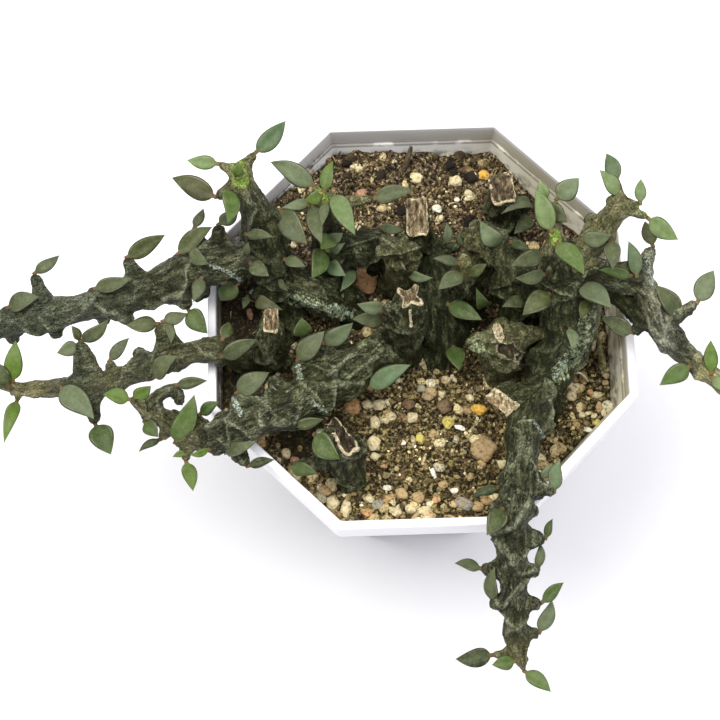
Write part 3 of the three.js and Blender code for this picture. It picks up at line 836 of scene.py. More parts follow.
# Stems are woody rods of one grown piece each, four-angled, with a pair of tubercles at each node
# that turns a quarter from node to node. They trail over the rim or stand as stumps in the mix.
STATION_STEP = 0.5 * MM
STEM_SIDES = 40
RIDGE_SHARE = 1.1
VALLEY_SHARE = 0.82
RIDGE_SPREAD = math.radians(22)
TOOTH_SHARE = 0.14
TOOTH_SPREAD = 1.8 * MM
NODE_SPACING = 9 * MM
HORN_SIDES = 14
HORN_TIP_HALF = 1.5 * MM
HORN_STAND = 0.9 * MM
VOXEL = 0.36 * MM
CUT_BLEND = 3.5 * MM
TIP_REACH = 2.6 * MM
CALLUS = [(0.05, -0.5), (0.4, -0.45), (0.66, -0.35), (0.82, 0.1), (0.92, 0.25), (1.0, 0.1)]
YOUNG_HALF = 2.0 * MM
OLD_HALF = 3.4 * MM
MARK_DEPTH = 12 * MM
RIDGE_RELIEF = 0.75
CREST_RELIEF = 0.32
WRINKLE_RELIEF = 0.32
WART_RELIEF = 0.1
HOLLOW_DEPTH = 0.9 * MM
WRINKLE_SCALES = np.array((330, 700, 700))
WART_SCALE = 1500
YOUNG_SMOOTHNESS = 0.6
BLEND_FACTOR = 0.5
BLEND_ROUNDS = 2
FAR_HORN_SHARE = 1.5
SPREADING_MARKS = ("lichen", "silver", "sprout")
CUT_REACH = 3 * MM
CUT_BARK_DEPTH = 0.95 * MM
CUT_RIM_DEPTH = 0.45 * MM
CUT_FADE = 0.35 * MM
HORN_STEPS = (-1, -0.5, 0, 0.1, 0.2, 0.32, 0.45, 0.6, 0.76, 0.86, 0.93, 0.98, 1)
HORN_ROUNDING = 0.76
# Rises over the rim in mm between which bark goes from dark, painted shade and wet bark, to light, painted
# lit and dry bark.
LIT_AND_DRY_RISES = (-15, 8)


def unit(rows):
    return rows / np.linalg.norm(rows, axis=-1, keepdims=True)


def eased(rows):
    """Rows at even steps along a smooth curve through the given ones. Columns 0 to 2 are a place."""
    rows = np.array(rows, float)
    hops = np.linalg.norm(np.diff(rows[:, :3], axis=0), axis=1)
    knots = np.concatenate(([0], np.cumsum(np.sqrt(hops))))
    slopes = np.gradient(rows, knots, axis=0)
    fine = np.linspace(0, knots[-1], 60 * len(rows))
    cell = np.clip(np.searchsorted(knots, fine, side="right") - 1, 0, len(rows) - 2)
    span = np.diff(knots)[cell][:, None]
    t = (fine[:, None] - knots[cell][:, None]) / span
    curve = ((2 * t ** 3 - 3 * t ** 2 + 1) * rows[cell] + (t ** 3 - 2 * t ** 2 + t) * span * slopes[cell]
             + (3 * t ** 2 - 2 * t ** 3) * rows[cell + 1] + (t ** 3 - t ** 2) * span * slopes[cell + 1])
    length = np.concatenate(([0], np.cumsum(np.linalg.norm(np.diff(curve[:, :3], axis=0), axis=1))))
    even = np.linspace(0, length[-1], max(3, round(length[-1] / STATION_STEP) + 1))
    return np.column_stack([np.interp(even, length, column) for column in curve.T])


class Axis:
    """A branch's middle line: places, directions, half widths and lengths from its first end."""

    def __init__(self, rows):
        line = eased([(*spot(x, y, rise), half * MM) for x, y, rise, half in rows])
        self.places = line[:, :3]
        self.halves = line[:, 3]
        self.along = unit(np.gradient(self.places, axis=0))
        hops = np.linalg.norm(np.diff(self.places, axis=0), axis=1)
        self.lengths = np.concatenate(([0], np.cumsum(hops)))
        side = np.cross((0, 0, 1), self.along[0])
        if abs(self.along[0][2]) > 0.9:
            side = np.array((1.0, 0, 0))
        sides = []
        for direction in self.along:
            side = unit(side - direction * side.dot(direction))
            sides.append(side)
        self.sides = np.array(sides)
        self.ups = np.cross(self.along, self.sides)
        self.phase = 900 * self.places[0].sum()
        self.nodes = []

    def set_nodes(self, seats):
        """Nodes as length and rank, 0 where the tubercles stand to the sides and 1 where up and down."""
        marks = sorted((self.lengths[seat.index], seat.rank) for seat in seats if seat.axis is self)
        nodes = [marks[0]] if marks else [(0.0, 0)]
        for length, rank in marks[1:]:
            before, last_rank = nodes[-1]
            gap = length - before
            if gap < 0.45 * NODE_SPACING:
                continue
            extra = round(gap / NODE_SPACING) - 1
            if (extra + (rank != last_rank)) % 2 == 0:
                extra += 1 if gap > (extra + 1) * NODE_SPACING or extra <= 0 else -1
            if extra < 0:
                continue
            for k in range(extra):
                nodes.append((before + gap * (k + 1) / (extra + 1), (last_rank + k + 1) % 2))
            nodes.append((length, rank))
        while nodes[0][0] > -NODE_SPACING:
            nodes.insert(0, (nodes[0][0] - NODE_SPACING, 1 - nodes[0][1]))
        while nodes[-1][0] < self.lengths[-1] + NODE_SPACING:
            nodes.append((nodes[-1][0] + NODE_SPACING, 1 - nodes[-1][1]))
        self.nodes = nodes

    def crest(self, lengths, turns):
        """Closeness, 0 to 1, to the two ridges that wander slantwise from each node to the next."""
        turns = (turns + 0.2 * np.sin(lengths / (2.3 * MM) + 2 * turns + self.phase)
                 + 0.12 * np.sin(lengths / (0.9 * MM) - 3 * turns + 1.7 * self.phase))
        marks = np.array([node[0] for node in self.nodes])
        ranks = np.array([node[1] for node in self.nodes])
        k = np.clip(np.searchsorted(marks, lengths) - 1, 0, len(marks) - 2)
        share = (lengths - marks[k]) / (marks[k + 1] - marks[k])
        start = ranks[k] * math.pi / 2
        closest = np.zeros(np.broadcast(lengths, turns).shape)
        for ridge in (start + share * math.pi / 2, start - share * math.pi / 2):
            off = np.abs((turns - ridge + math.pi / 2) % math.pi - math.pi / 2)
            closest = np.maximum(closest, np.exp(-(off / RIDGE_SPREAD) ** 1.4))
        return closest * (0.8 + 0.2 * np.sin(lengths / (3.1 * MM) + turns + 2.1 * self.phase))

    def reach(self, length, turns):
        """Shares of the half width round the stem: ridges, hollows between them, and knobs at the nodes."""
        reach = VALLEY_SHARE + (RIDGE_SHARE - VALLEY_SHARE) * self.crest(np.full(len(turns), length), turns)
        for node, rank in self.nodes:
            off = np.abs((turns - rank * math.pi / 2 + math.pi / 2) % math.pi - math.pi / 2)
            reach += TOOTH_SHARE * np.exp(-((length - node) / TOOTH_SPREAD) ** 2 - (off / RIDGE_SPREAD) ** 2)
        return reach


def lump(place, scale, seed):
    return noise.fractal(Vector((place[0] / scale, place[1] / scale, place[2] / scale + seed)), 1, 2, 2)


class Cut:
    """An old cut across the first end of a branch, square or a star with hollow sides. Its heart is
    0 for a rotted dark core and 1 for bare tan wood, or None where bark has closed over."""

    def __init__(self, axis, half_side, half_up, lean, turn=0, waist=0.72, square=True, heart=0.6):
        self.centre = axis.places[0]
        self.side = axis.sides[0]
        self.up = axis.ups[0]
        self.direction = axis.along[0]
        self.normal = unit(np.array(lean) - self.direction)
        stretch = math.sqrt(2) if square else 1
        self.half_side = half_side * MM * stretch
        self.half_up = half_up * MM * stretch
        self.turn = math.radians(turn)
        self.corner = math.pi / 4 if square else 0
        self.waist = waist
        self.heart = heart

    def outline(self, turns):
        """Reach of the outline, 1 at its four corners."""
        return self.waist + (1 - self.waist) * ((1 + np.cos(4 * (turns - self.corner))) / 2) ** 1.5

    def ring(self, share, rise):
        """The outline at a share of its size, laid in the plane of the cut."""
        turns = np.arange(STEM_SIDES) * 2 * math.pi / STEM_SIDES - self.turn
        reach = self.outline(turns) * share
        x = np.cos(turns) * reach * self.half_side
        y = np.sin(turns) * reach * self.half_up
        flat = (self.side * (x * math.cos(self.turn) - y * math.sin(self.turn))[:, None]
                + self.up * (x * math.sin(self.turn) + y * math.cos(self.turn))[:, None])
        slide = -(flat @ self.normal) / self.direction.dot(self.normal)
        return self.centre + flat + slide[:, None] * self.direction + self.normal * rise

    def measure(self, places):
        """How far out on the cut places lie, 1 at its rim, and their height over the cut's plane."""
        off = places - self.centre
        across = off @ self.side
        upward = off @ self.up
        x = (across * math.cos(self.turn) + upward * math.sin(self.turn)) / self.half_side
        y = (upward * math.cos(self.turn) - across * math.sin(self.turn)) / self.half_up
        return np.hypot(x, y) / self.outline(np.arctan2(y, x)), off @ self.normal


def stem_rings(axis, seed, cut=None):
    """Four-angled rings along a branch. An end is rounded unless it was cut."""
    turns = np.arange(STEM_SIDES) * 2 * math.pi / STEM_SIDES
    rings = []
    last = len(axis.places) - 1
    for k, (place, half, side, up) in enumerate(zip(axis.places, axis.halves, axis.sides, axis.ups)):
        share = axis.reach(axis.lengths[k], turns)
        ring = []
        for turn, reach in zip(turns, share):
            direction = math.cos(turn) * side + math.sin(turn) * up
            point = place + direction * reach * half
            ring.append(point + direction * lump(point, 5 * MM, seed) * 0.12 * half)
        ring = np.array(ring)
        if cut:
            fade = max(0, 1 - axis.lengths[k] / CUT_BLEND)
            ring = ring * (1 - fade) + (cut.ring(1.04, 0) + place - cut.centre) * fade
        rings.append(ring)
        if cut and k == 0:
            rings = [cut.ring(share, rise * MM) for share, rise in CALLUS] + rings
        elif k in (0, last):
            sense = -1 if k == 0 else 1
            ends = [place + (ring - place) * math.cos(a) + axis.along[k] * sense * half * math.sin(a) * 0.9
                    for a in (0.5, 0.95, 1.3)]
            if k == 0:
                rings = ends[::-1] + rings
            else:
                rings += ends
    return rings


def horn_rings(foot, tip, half, along, bend):
    """A tubercle: a foot drawn out along the stem, hollow flanks, and a blunt rounded end."""
    reach = np.linalg.norm(tip - foot)
    out = (tip - foot) / reach
    side = along - out * along.dot(out)
    if np.linalg.norm(side) < 0.2:
        side = np.cross(out, (0, 0, 1))
    side = unit(side)
    across = np.cross(out, side)
    turns = np.arange(HORN_SIDES) * 2 * math.pi / HORN_SIDES
    free = max(0.3 * MM, reach - 0.85 * half)
    tip_half = min(HORN_TIP_HALF, 0.44 * half)
    foot_long = max(tip_half, min(0.9 * half, 0.46 * half + 0.34 * free))
    foot_thin = max(tip_half, min(0.6 * half, 0.36 * half + 0.22 * free))
    rings = []
    for step in HORN_STEPS:
        if step <= 0:
            distance = (reach - free) * (1 + step)
        else:
            distance = reach - free + free * step
        fall = (1 - max(0, step)) ** 3
        long = tip_half + (foot_long - tip_half) * fall
        thin = tip_half * 0.85 + (foot_thin - tip_half * 0.85) * fall
        if step > HORN_ROUNDING:
            round_off = math.sqrt(max(0.12, 1 - ((step - HORN_ROUNDING) / (1 - HORN_ROUNDING)) ** 2))
            long *= round_off
            thin *= round_off
        middle = foot + out * distance + side * bend * free * math.sin(math.pi * distance / reach)
        rings.append(np.array([middle + side * math.cos(t) * long + across * math.sin(t) * thin
                               for t in turns]))
    return rings


def joined(parts):
    """One mesh from several lists of rings, each closed at both ends."""
    points = []
    faces = []
    for rings in parts:
        start = len(points)
        count = len(rings[0])
        for ring in rings:
            points.extend(map(tuple, ring))
        for row in range(len(rings) - 1):
            for k in range(count):
                a = start + row * count + k
                b = start + row * count + (k + 1) % count
                faces.append((a, b, b + count, a + count))
        last = start + (len(rings) - 1) * count
        faces.append(tuple(range(start + count - 1, start - 1, -1)))
        faces.append(tuple(range(last, last + count)))
    return points, faces


class Seat:
    """Where a leaf or a tubercle sits: on the stem's skin, or beside it at the stem's own depth."""

    def __init__(self, axes, x, y, stand_off=HORN_STAND):
        ray = np.array(sight(x, y))
        eye = np.array(camera_place)
        nearest = None
        for axis in axes:
            depths = (axis.places - eye) @ ray
            gaps = np.linalg.norm(eye + depths[:, None] * ray - axis.places, axis=1)
            k = int(gaps.argmin())
            if nearest is None or gaps[k] < nearest:
                nearest = gaps[k]
                self.axis = axis
                self.index = k
                depth = depths[k]
        self.half = self.axis.halves[self.index]
        self.foot = self.axis.places[self.index]
        self.along = self.axis.along[self.index]
        inside = max(0.0, self.half ** 2 - nearest ** 2)
        self.faces_camera = inside > 0
        stand = math.sqrt(inside) + stand_off if inside else 0
        self.tip = eye + ray * (depth - stand)
        off = self.tip - self.foot
        self.rank = int(abs(off.dot(self.axis.ups[self.index])) > abs(off.dot(self.axis.sides[self.index])))


def closeness(places, normals, start, end, width):
    """1 where the near skin lies on the line between two places as seen, and 0 a width beside it."""
    toward = unit(np.array(camera_place) - start)
    deeper = (end - start).dot(toward)
    line = end - start - deeper * toward
    depth = (places - start) @ toward
    gap = places - start - depth[:, None] * toward
    share = np.clip(gap @ line / max(1e-12, line.dot(line)), 0, 1)
    aside = np.linalg.norm(gap - share[:, None] * line, axis=1)
    near = (np.abs(depth - share * deeper) < MARK_DEPTH) & (normals @ toward > 0.1)
    return np.where(near, np.clip(1 - aside / width, 0, 1), 0)


def stem_skin(name, axes, seats, cuts, seed):
    """A branched stem with its tubercles as one closed skin."""
    parts = [stem_rings(axis, seed + k, cuts.get(k)) for k, axis in enumerate(axes)]
    for k, seat in enumerate(seats):
        bend = 0.1 * math.sin(seed + 2.3 * k)
        parts.append(horn_rings(seat.foot, seat.tip, seat.half, seat.along, bend))
        if seat.faces_camera:
            far_tip = seat.foot - (seat.tip - seat.foot) * FAR_HORN_SHARE
            parts.append(horn_rings(seat.foot, far_tip, seat.half, seat.along, -bend))
    points, faces = joined(parts)
    rough = bpy.data.meshes.new(name)
    rough.from_pydata(points, [], faces)
    stem = add_object(name, rough)
    remesh = stem.modifiers.new("skin", "REMESH")
    remesh.mode = "VOXEL"
    remesh.voxel_size = VOXEL
    blend = stem.modifiers.new("blend", "SMOOTH")
    blend.factor = BLEND_FACTOR
    blend.iterations = BLEND_ROUNDS
    replace_mesh(stem, evaluated(stem, name))
    bpy.data.meshes.remove(rough)
    return stem


def branch_shares(axes, places, gloom, youth):
    """The bark's own directions on a skin, how ridged and young it is, and how lit and dry its colour is
    painted at each place.
    """
    stations = [(number, k) for number, axis in enumerate(axes) for k in range(len(axis.places))]
    tree = kdtree.KDTree(len(stations))
    for number, (branch, k) in enumerate(stations):
        tree.insert(axes[branch].places[k], number)
    tree.balance()
    nearest = np.array([stations[tree.find(place)[1]] for place in places])
    grain = np.empty_like(places)
    crest, young, dry = np.empty((3, len(places)))
    for branch, axis in enumerate(axes):
        mine = nearest[:, 0] == branch
        k = nearest[mine, 1]
        off = places[mine] - axis.places[k]
        across = np.einsum("ij,ij->i", off, axis.sides[k])
        upward = np.einsum("ij,ij->i", off, axis.ups[k])
        lengths = axis.lengths[k] + np.einsum("ij,ij->i", off, axis.along[k])
        grain[mine] = np.column_stack((lengths + branch, across, upward))
        crest[mine] = axis.crest(lengths, np.arctan2(upward, across))
        young[mine] = youth.get(branch, (OLD_HALF - axis.halves[k]) / (OLD_HALF - YOUNG_HALF))
        low, high = gloom.get(branch, LIT_AND_DRY_RISES)
        dry[mine] = ((places[mine, 2] - rim_height) / MM - low) / (high - low)
    return grain, {"crest": crest, "young": np.clip(young, 0, 1), "dry": np.clip(dry, 0, 1)}


def add_cuts(cuts, places, shares):
    """Bares the wood of each open cut, with its core and its heart."""
    for cut in cuts.values():
        if cut.heart is None:
            continue
        out, rise = cut.measure(places)
        bare = np.clip((rise + CUT_BARK_DEPTH - CUT_RIM_DEPTH * (out > 0.8)) / CUT_FADE, 0, 1)
        near = (out < 1.25) & (np.abs(rise) < CUT_REACH)
        shares["wound"] = np.where(near, np.maximum(shares["wound"], bare), shares["wound"])
        shares["core"] = np.where(near, np.clip((0.98 - out) / 0.3, 0, 1), shares["core"])
        shares["heart"] = np.where(near, cut.heart, shares["heart"])


def add_marks(marks, axes, places, normals, shares):
    """Lays each mark on the skin where the picture shows it, and gives how far ridges raise it."""
    ridged = np.zeros(len(places))
    for x, y, end_x, end_y, width, kind in marks:
        start = Seat(axes, x, y, 0).tip
        close = closeness(places, normals, start, Seat(axes, end_x, end_y, 0).tip, width * MM)
        scar = kind == "scar"
        if kind in SPREADING_MARKS:
            shares[kind] = np.maximum(shares[kind], close)
        # A ridge mark raises the skin and feeds the crest share, so a painted highlight line runs along it
        # too.
        elif kind == "ridge":
            shares["crest"] = np.maximum(shares["crest"], close)
            ridged = np.maximum(ridged, close * close * (3 - 2 * close))
        elif kind == "crack":
            shares["tips"] = np.maximum(shares["tips"], np.minimum(1, close * 1.5))
        else:
            shares["wound"] = np.maximum(shares["wound"], np.clip(close * 2.2, 0, 1 if scar else 0.55))
            shares["heart"] = np.where(close > 0, 1 if scar else 0.1, shares["heart"])
        if kind == "hollow":
            shares["core"] = np.where(close > 0, np.clip(close * 3 - 0.9, 0, 1), shares["core"])
            places -= normals * (np.clip(close * 2 - 0.5, 0, 1) * HOLLOW_DEPTH)[:, None]
    return ridged


def grow_stem(name, axes, seats, cuts, marks, gloom, youth, wrinkles, seed):
    """A branched stem as one closed skin, with its bark's own directions kept on its points. Gloom
    holds the rises between which a branch's bark is painted from dark, for shade and wet bark, to light, for
    lit, dry bark."""
    for axis in axes:
        axis.set_nodes(seats)
    stem = stem_skin(name, axes, seats, cuts, seed)
    mesh = stem.data
    places = np.empty(len(mesh.vertices) * 3)
    mesh.vertices.foreach_get("co", places)
    places = places.reshape(-1, 3)
    normals = np.array([vertex.normal for vertex in mesh.vertices])
    grain, shares = branch_shares(axes, places, gloom, youth)
    for kind in ("wound", "core", "heart", *SPREADING_MARKS, "tips"):
        shares[kind] = np.zeros(len(places))
    for seat in seats:
        gap = np.linalg.norm(places - seat.tip, axis=1)
        shares["tips"] = np.maximum(shares["tips"], np.clip(1 - gap / TIP_REACH, 0, 1))
    add_cuts(cuts, places, shares)
    ridged = add_marks(marks, axes, places, normals, shares)
    crest = shares["crest"]
    for i, place in enumerate(places):
        fold = Vector(grain[i] * WRINKLE_SCALES) + Vector((0, 0, seed))
        wrinkle = noise.fractal(fold, 0.8, 2, 3)
        warts = noise.fractal(Vector(place * WART_SCALE), 1, 2, 2)
        relief = (wrinkle * WRINKLE_RELIEF * wrinkles + warts * WART_RELIEF
                  + crest[i] ** 6 * CREST_RELIEF + ridged[i] * RIDGE_RELIEF)
        places[i] += normals[i] * relief * (1 - YOUNG_SMOOTHNESS * shares["young"][i]) * MM
    mesh.vertices.foreach_set("co", places.ravel())
    attribute(mesh, "grain", grain, "FLOAT_VECTOR")
    for kind, values in shares.items():
        attribute(mesh, kind, values)
    smooth(mesh)
    mesh.update()
    return stem


OUTSIDE_POT = (30 * MM, 56 * MM)
WEST_ROD = (-85 * MM, -55 * MM)
EAST_ROD = (50.5 * MM, 53 * MM)
EAST_ROD_END = (57 * MM, 62 * MM)
TAN_END = (62.8 * MM, 65 * MM)
GREEN_END = (68 * MM, 73 * MM)

bark = Paint("bark")
bark_place = bark.place()
bark_grain = bark.vector_math("MULTIPLY", bark.attribute("grain", 1), (0.3, 1, 1))
bark_across = bark.part(bark_place, 0)
streaks = bark.noise(700, 5, bark_grain, 0.7)
patches = bark.noise(150, 4, bark_place, 0.6)
blotches = bark.noise(420, 4, bark_place, 0.65)
flecks = bark.noise(2300, 4, bark_place, 0.7)
crest = bark.attribute("crest")
veins = 1 - bark.span(abs(bark.noise(480, 4, bark_grain, 0.6) - 0.5), 0.0, 0.045)
cracks = 1 - bark.span(abs(bark.noise(330, 5, bark_grain, 0.65) - 0.52), 0.0, 0.022)
creases = cracks * bark.span(blotches, 0.4, 0.55)
flat_place = bark.vector_math("MULTIPLY", bark_place, (1, 1, 0))
outside = bark.span(bark.vector_math("LENGTH", flat_place, out=1), *OUTSIDE_POT)
# Painted shade: raised is 0 where bark is painted dark for shade and wet bark low in the pot, and 1 where it
# is lit and dry. It also strengthens the painted edge highlights, pale veins and ridge lines.
raised = bark.span(bark.attribute("dry"), 0, 1)
west = 1 - bark.span(bark_across, *WEST_ROD)
east = bark.span(bark_across + blotches * 0.004, *EAST_ROD) * (
    1 - bark.span(bark_across + blotches * 0.006, *EAST_ROD_END) * 0.7)
tan_end = bark.span(bark_across + blotches * 0.004, *TAN_END)
green_end = bark.span(bark_across, *GREEN_END)
grained = streaks * (1 - west * 0.6) + blotches * (west * 0.6)
dark_bark = bark.ramp(streaks, (0.36, (0.005, 0.0055, 0.002)), (0.52, (0.018, 0.019, 0.008)),
                      (0.66, (0.062, 0.064, 0.03)))
olive_bark = bark.ramp(streaks, (0.36, (0.014, 0.0135, 0.006)), (0.5, (0.05, 0.05, 0.026)),
                       (0.66, (0.14, 0.14, 0.095)))
grey_bark = bark.ramp(grained, (0.36, (0.022, 0.025, 0.016)), (0.5, (0.052, 0.059, 0.04)),
                      (0.66, (0.105, 0.118, 0.085)))
young_bark = bark.ramp(streaks, (0.34, (0.05, 0.045, 0.02)), (0.5, (0.11, 0.1, 0.05)),
                       (0.66, (0.22, 0.2, 0.12)))
pale_bark = bark.ramp(streaks, (0.36, (0.04, 0.04, 0.028)), (0.47, (0.125, 0.125, 0.1)),
                      (0.6, (0.3, 0.3, 0.25)))
rod_bark = bark.mix(east, bark.mix(west, olive_bark, grey_bark), pale_bark)
# Painted light and shade from the skin's curvature: convex edges get a painted highlight, and crannies get
# painted shade.
pointiness = bark.node("ShaderNodeNewGeometry", {}, out=7)
edge_light = bark.span(pointiness, 0.52, 0.62) * (raised * 0.75 + 0.25)
cranny = 1 - bark.span(pointiness, 0.4, 0.49)
# Painted shade: bark away from the ridges is darkened, as in the hollows between them.
hollow = 1 - bark.span(crest + blotches * 0.5 - 0.25, 0.1, 0.75)
# Dark blotches, more of them inside the pot than outside it: partly painted shade among the stems, partly
# wetter bark.
dark_share = (1 - bark.span(blotches, 0.4, 0.58)) * (1 - outside * 0.55) * (1 - east * 0.75)
mottled = bark.mix(dark_share, rod_bark, dark_bark)
sunken = bark.mix(hollow * (0.7 - west * 0.45 - east * 0.5), mottled, dark_bark)
# Painted shade and wet bark: bark low in the pot, under its branch's gloom rises, goes nearly black.
deep = bark.mix((1 - raised) * 0.88, sunken, bark.ramp(
    streaks, (0.36, (0.005, 0.0058, 0.0015)), (0.52, (0.017, 0.019, 0.0048)), (0.64, (0.066, 0.068, 0.04))))
veined = bark.mix(veins * bark.span(patches, 0.45, 0.6) * (raised * 0.4 + 0.12), deep, (0.18, 0.185, 0.13))
edged = bark.mix(edge_light * 0.5, veined, (0.27, 0.275, 0.21))
# Real cracks and the painted shade in crannies both go near black.
creased = bark.mix(bark.span(creases * 0.8 + cranny * 0.85, 0, 1), edged, (0.008, 0.009, 0.004))
# Painted highlight: a thin broken light line along each ridge, stronger where the bark is painted lit.
crest_line = bark.span(crest + flecks * 0.7 - 0.35, 0.5, 1.0) * bark.span(blotches, 0.36, 0.6)
crested = bark.mix(crest_line * (raised * 0.26 + 0.08), creased, (0.26, 0.27, 0.2))
lichen_share = bark.attribute("lichen")
lichen_mask = bark.span(flecks * 0.8 + blotches * 1.5 + lichen_share * 0.5, 1.24, 1.4)
lichen_mask *= bark.span(lichen_share, 0.0, 0.2)
lichen_dots = bark.ramp(bark.noise(900, 4, bark_place, 0.6), (0.4, (0.022, 0.027, 0.014)),
                        (0.5, (0.15, 0.17, 0.11)), (0.62, (0.33, 0.36, 0.26)))
grown_over = bark.mix(lichen_mask * 0.9, crested, lichen_dots)
# Pale silvery flecks on the bark, partly its own colour and partly painted glints.
silver_glint_share = bark.attribute("silver")
silver_glint_mask = bark.span(flecks * 1.5 + blotches * 0.7 + silver_glint_share * 0.75, 1.3, 1.5)
silver_glint_mask *= bark.span(silver_glint_share, 0.0, 0.2)
silver_glinted = bark.mix(silver_glint_mask * 0.7, grown_over, bark.ramp(
    flecks, (0.4, (0.06, 0.072, 0.06)), (0.62, (0.32, 0.36, 0.34))))
tipped = bark.mix(bark.span(bark.attribute("tips") + blotches * 0.3, 0.5, 0.85) * 0.65, silver_glinted,
                  (0.014, 0.014, 0.009))
aged = bark.mix(bark.attribute("young"), tipped, young_bark)
tan_bark = bark.ramp(streaks, (0.36, (0.11, 0.095, 0.045)), (0.62, (0.32, 0.29, 0.15)))
tanned = bark.mix(tan_end * 0.85, aged, tan_bark)
sprouting = bark.span(bark.attribute("sprout") + blotches * 0.5 - 0.25, 0.1, 0.5)
freshened = bark.mix(bark.span(green_end + sprouting, 0, 1) * 0.85, tanned, (0.15, 0.21, 0.045))
wood_grain = bark.noise(750, 6, bark.place((1.7, 0.6, 1)), 0.72)
rim_wood = bark.ramp(flecks, (0.34, (0.22, 0.165, 0.09)), (0.46, (0.42, 0.34, 0.2)),
                     (0.62, (0.66, 0.58, 0.4)))
rotted = bark.ramp(wood_grain, (0.4, (0.01, 0.008, 0.005)), (0.52, (0.04, 0.029, 0.016)),
                   (0.66, (0.15, 0.108, 0.062)))
tan_wood = bark.ramp(wood_grain, (0.38, (0.05, 0.034, 0.018)), (0.5, (0.26, 0.19, 0.098)),
                     (0.62, (0.6, 0.49, 0.29)))
heart_wood = bark.mix(bark.attribute("heart"), rotted, tan_wood)
ragged = bark.span(bark.noise(520, 3, bark_place, 0.6), 0.35, 0.65)
core_mask = bark.span(bark.attribute("core") + ragged * 0.8 - 0.4, 0.15, 0.4)
healed = bark.mix(core_mask, rim_wood, heart_wood)
bark_contrast = bark.span(flecks, 0.38, 0.62) * 1.05 + 0.5
speckled = bark.vector_math("MULTIPLY", freshened, bark_contrast)
# Bark outside the pot is tinted a little lighter than bark inside it, partly as painted shade among the
# stems inside.
tinted = bark.mix(1.0, speckled, bark.mix(outside, (1.1, 1.15, 0.94), (1.0, 1.035, 0.93)), "MULTIPLY")
wound_mask = bark.span(bark.attribute("wound") + flecks * 0.6 - 0.3, 0.35, 0.65)
finished_bark = bark.mix(wound_mask, tinted, healed)
bark_height = streaks * 0.55 + flecks * 0.3 - creases * 0.35 + veins * 0.15
bark_material = bark.finish(
    Base_Color=finished_bark,
    Roughness=bark.span(blotches, 0.3, 0.7) * 0.25 + (1 - raised) * 0.2 + 0.36,
    Specular_IOR_Level=0.16,
    Normal=bark.bump(bark_height, 1.0, 0.001))


# Leaves are thick, pointed ovals on short reddish stalks at the tips of the tubercles: grey-green
# above with a dark edge, yellow-green while they are new.
LEAF_ROWS = 14
LEAF_COLUMNS = 9
LEAF_THICKNESS = 1.3 * MM
LEAF_WIDEST = 0.37
LEAF_WIDENING = 1.04
STALK_LENGTH = 0.6 * MM
STALK_HALF = 0.42 * MM
TONES = {
    "fresh": (0.085, 0.138, 0.034),
    "dim": (0.014, 0.018, 0.003),
    "grey": (0.063, 0.073, 0.038),
    "olive": (0.052, 0.057, 0.018),
    "green": (0.046, 0.077, 0.018),
    "bright": (0.082, 0.138, 0.016),
    "pale": (0.12, 0.148, 0.088),
    "teal": (0.085, 0.13, 0.07),
    "mint": (0.148, 0.21, 0.085),
    "brown": (0.06, 0.054, 0.026),
    "dark": (0.028, 0.04, 0.011),
}


def leaf_shape(base, tip, width, roll, curl, sway, rise):
    """A fleshy leaf as rings across it, from the stalk to the tip, with its across and along shares."""
    along = unit(tip - base)
    view = np.array(camera_place) - base
    face = unit(view - along * view.dot(along))
    side = np.cross(along, face)
    face, side = face * math.cos(roll) + side * math.sin(roll), side * math.cos(roll) - face * math.sin(roll)
    reach = np.linalg.norm(tip - base)
    stalk = min(STALK_LENGTH, 0.1 * reach)
    shares = [-0.5 * stalk / reach, 0.5 * stalk / reach]
    start = stalk / reach
    shares += [start + (1 - start) * (1 - math.cos(math.pi * k / LEAF_ROWS)) / 2 for k in range(LEAF_ROWS)]
    shares.append(1)
    half = np.linspace(-1, 1, LEAF_COLUMNS)
    across = np.concatenate((half, half[-2:0:-1]))
    upper = np.concatenate((np.ones(LEAF_COLUMNS), -np.ones(LEAF_COLUMNS - 2)))
    crown = np.sqrt(np.clip(1 - across ** 2, 0, 1))
    rings = []
    shade = []
    for share in shares:
        blade = max(0, (share - start) / (1 - start))
        form = 0
        if blade > 0:
            form = (blade / LEAF_WIDEST) ** 0.6 * ((1 - blade) / (1 - LEAF_WIDEST)) ** 1.02
        wide = max(width / 2 * form, STALK_HALF * (1 - blade) + 0.08 * MM)
        thick = LEAF_THICKNESS * min(1, 0.42 + 0.6 * form) * (1 - 0.75 * blade ** 3)
        swell = np.where(upper > 0, 0.42 * crown - 0.16 * np.exp(-(across / 0.3) ** 2) * min(1, form),
                         -0.6 * crown)
        lift = swell * thick + 0.16 * wide * across ** 2
        arch = max(reach * 0.055, rise) * math.sin(math.pi * share) - reach * curl * blade ** 2 * (rise == 0)
        bow = reach * sway * (math.sin(math.pi * share) - 0.4 * math.sin(2 * math.pi * share))
        middle = base + along * reach * share + side * bow
        rings.append(middle + side * (across * wide)[:, None] + face * (lift + arch)[:, None])
        shade.extend((abs(a), blade) for a in across)
    return rings, shade


LEAF_GAP = 0.7 * MM
LIFT_STEP = 0.3 * MM
LIFT_STEPS = 40
BARK_SHARE = 1.12
grown_axes = []


def clearance_of(place):
    """How far a place is outside the bark of every stem so far, and over the mix."""
    gaps = [np.min(np.linalg.norm(axis.places - place, axis=1) - BARK_SHARE * axis.halves)
            for axis in grown_axes]
    return min(min(gaps), place[2] - soil_level(place[0], place[1]) - 0.5 * MM)


def lifted(place):
    """A place moved along its line of sight until nothing buries it."""
    ray = unit(place - np.array(camera_place))
    for _ in range(LIFT_STEPS):
        if clearance_of(place) > LEAF_GAP:
            break
        place = place - ray * LIFT_STEP
    return place


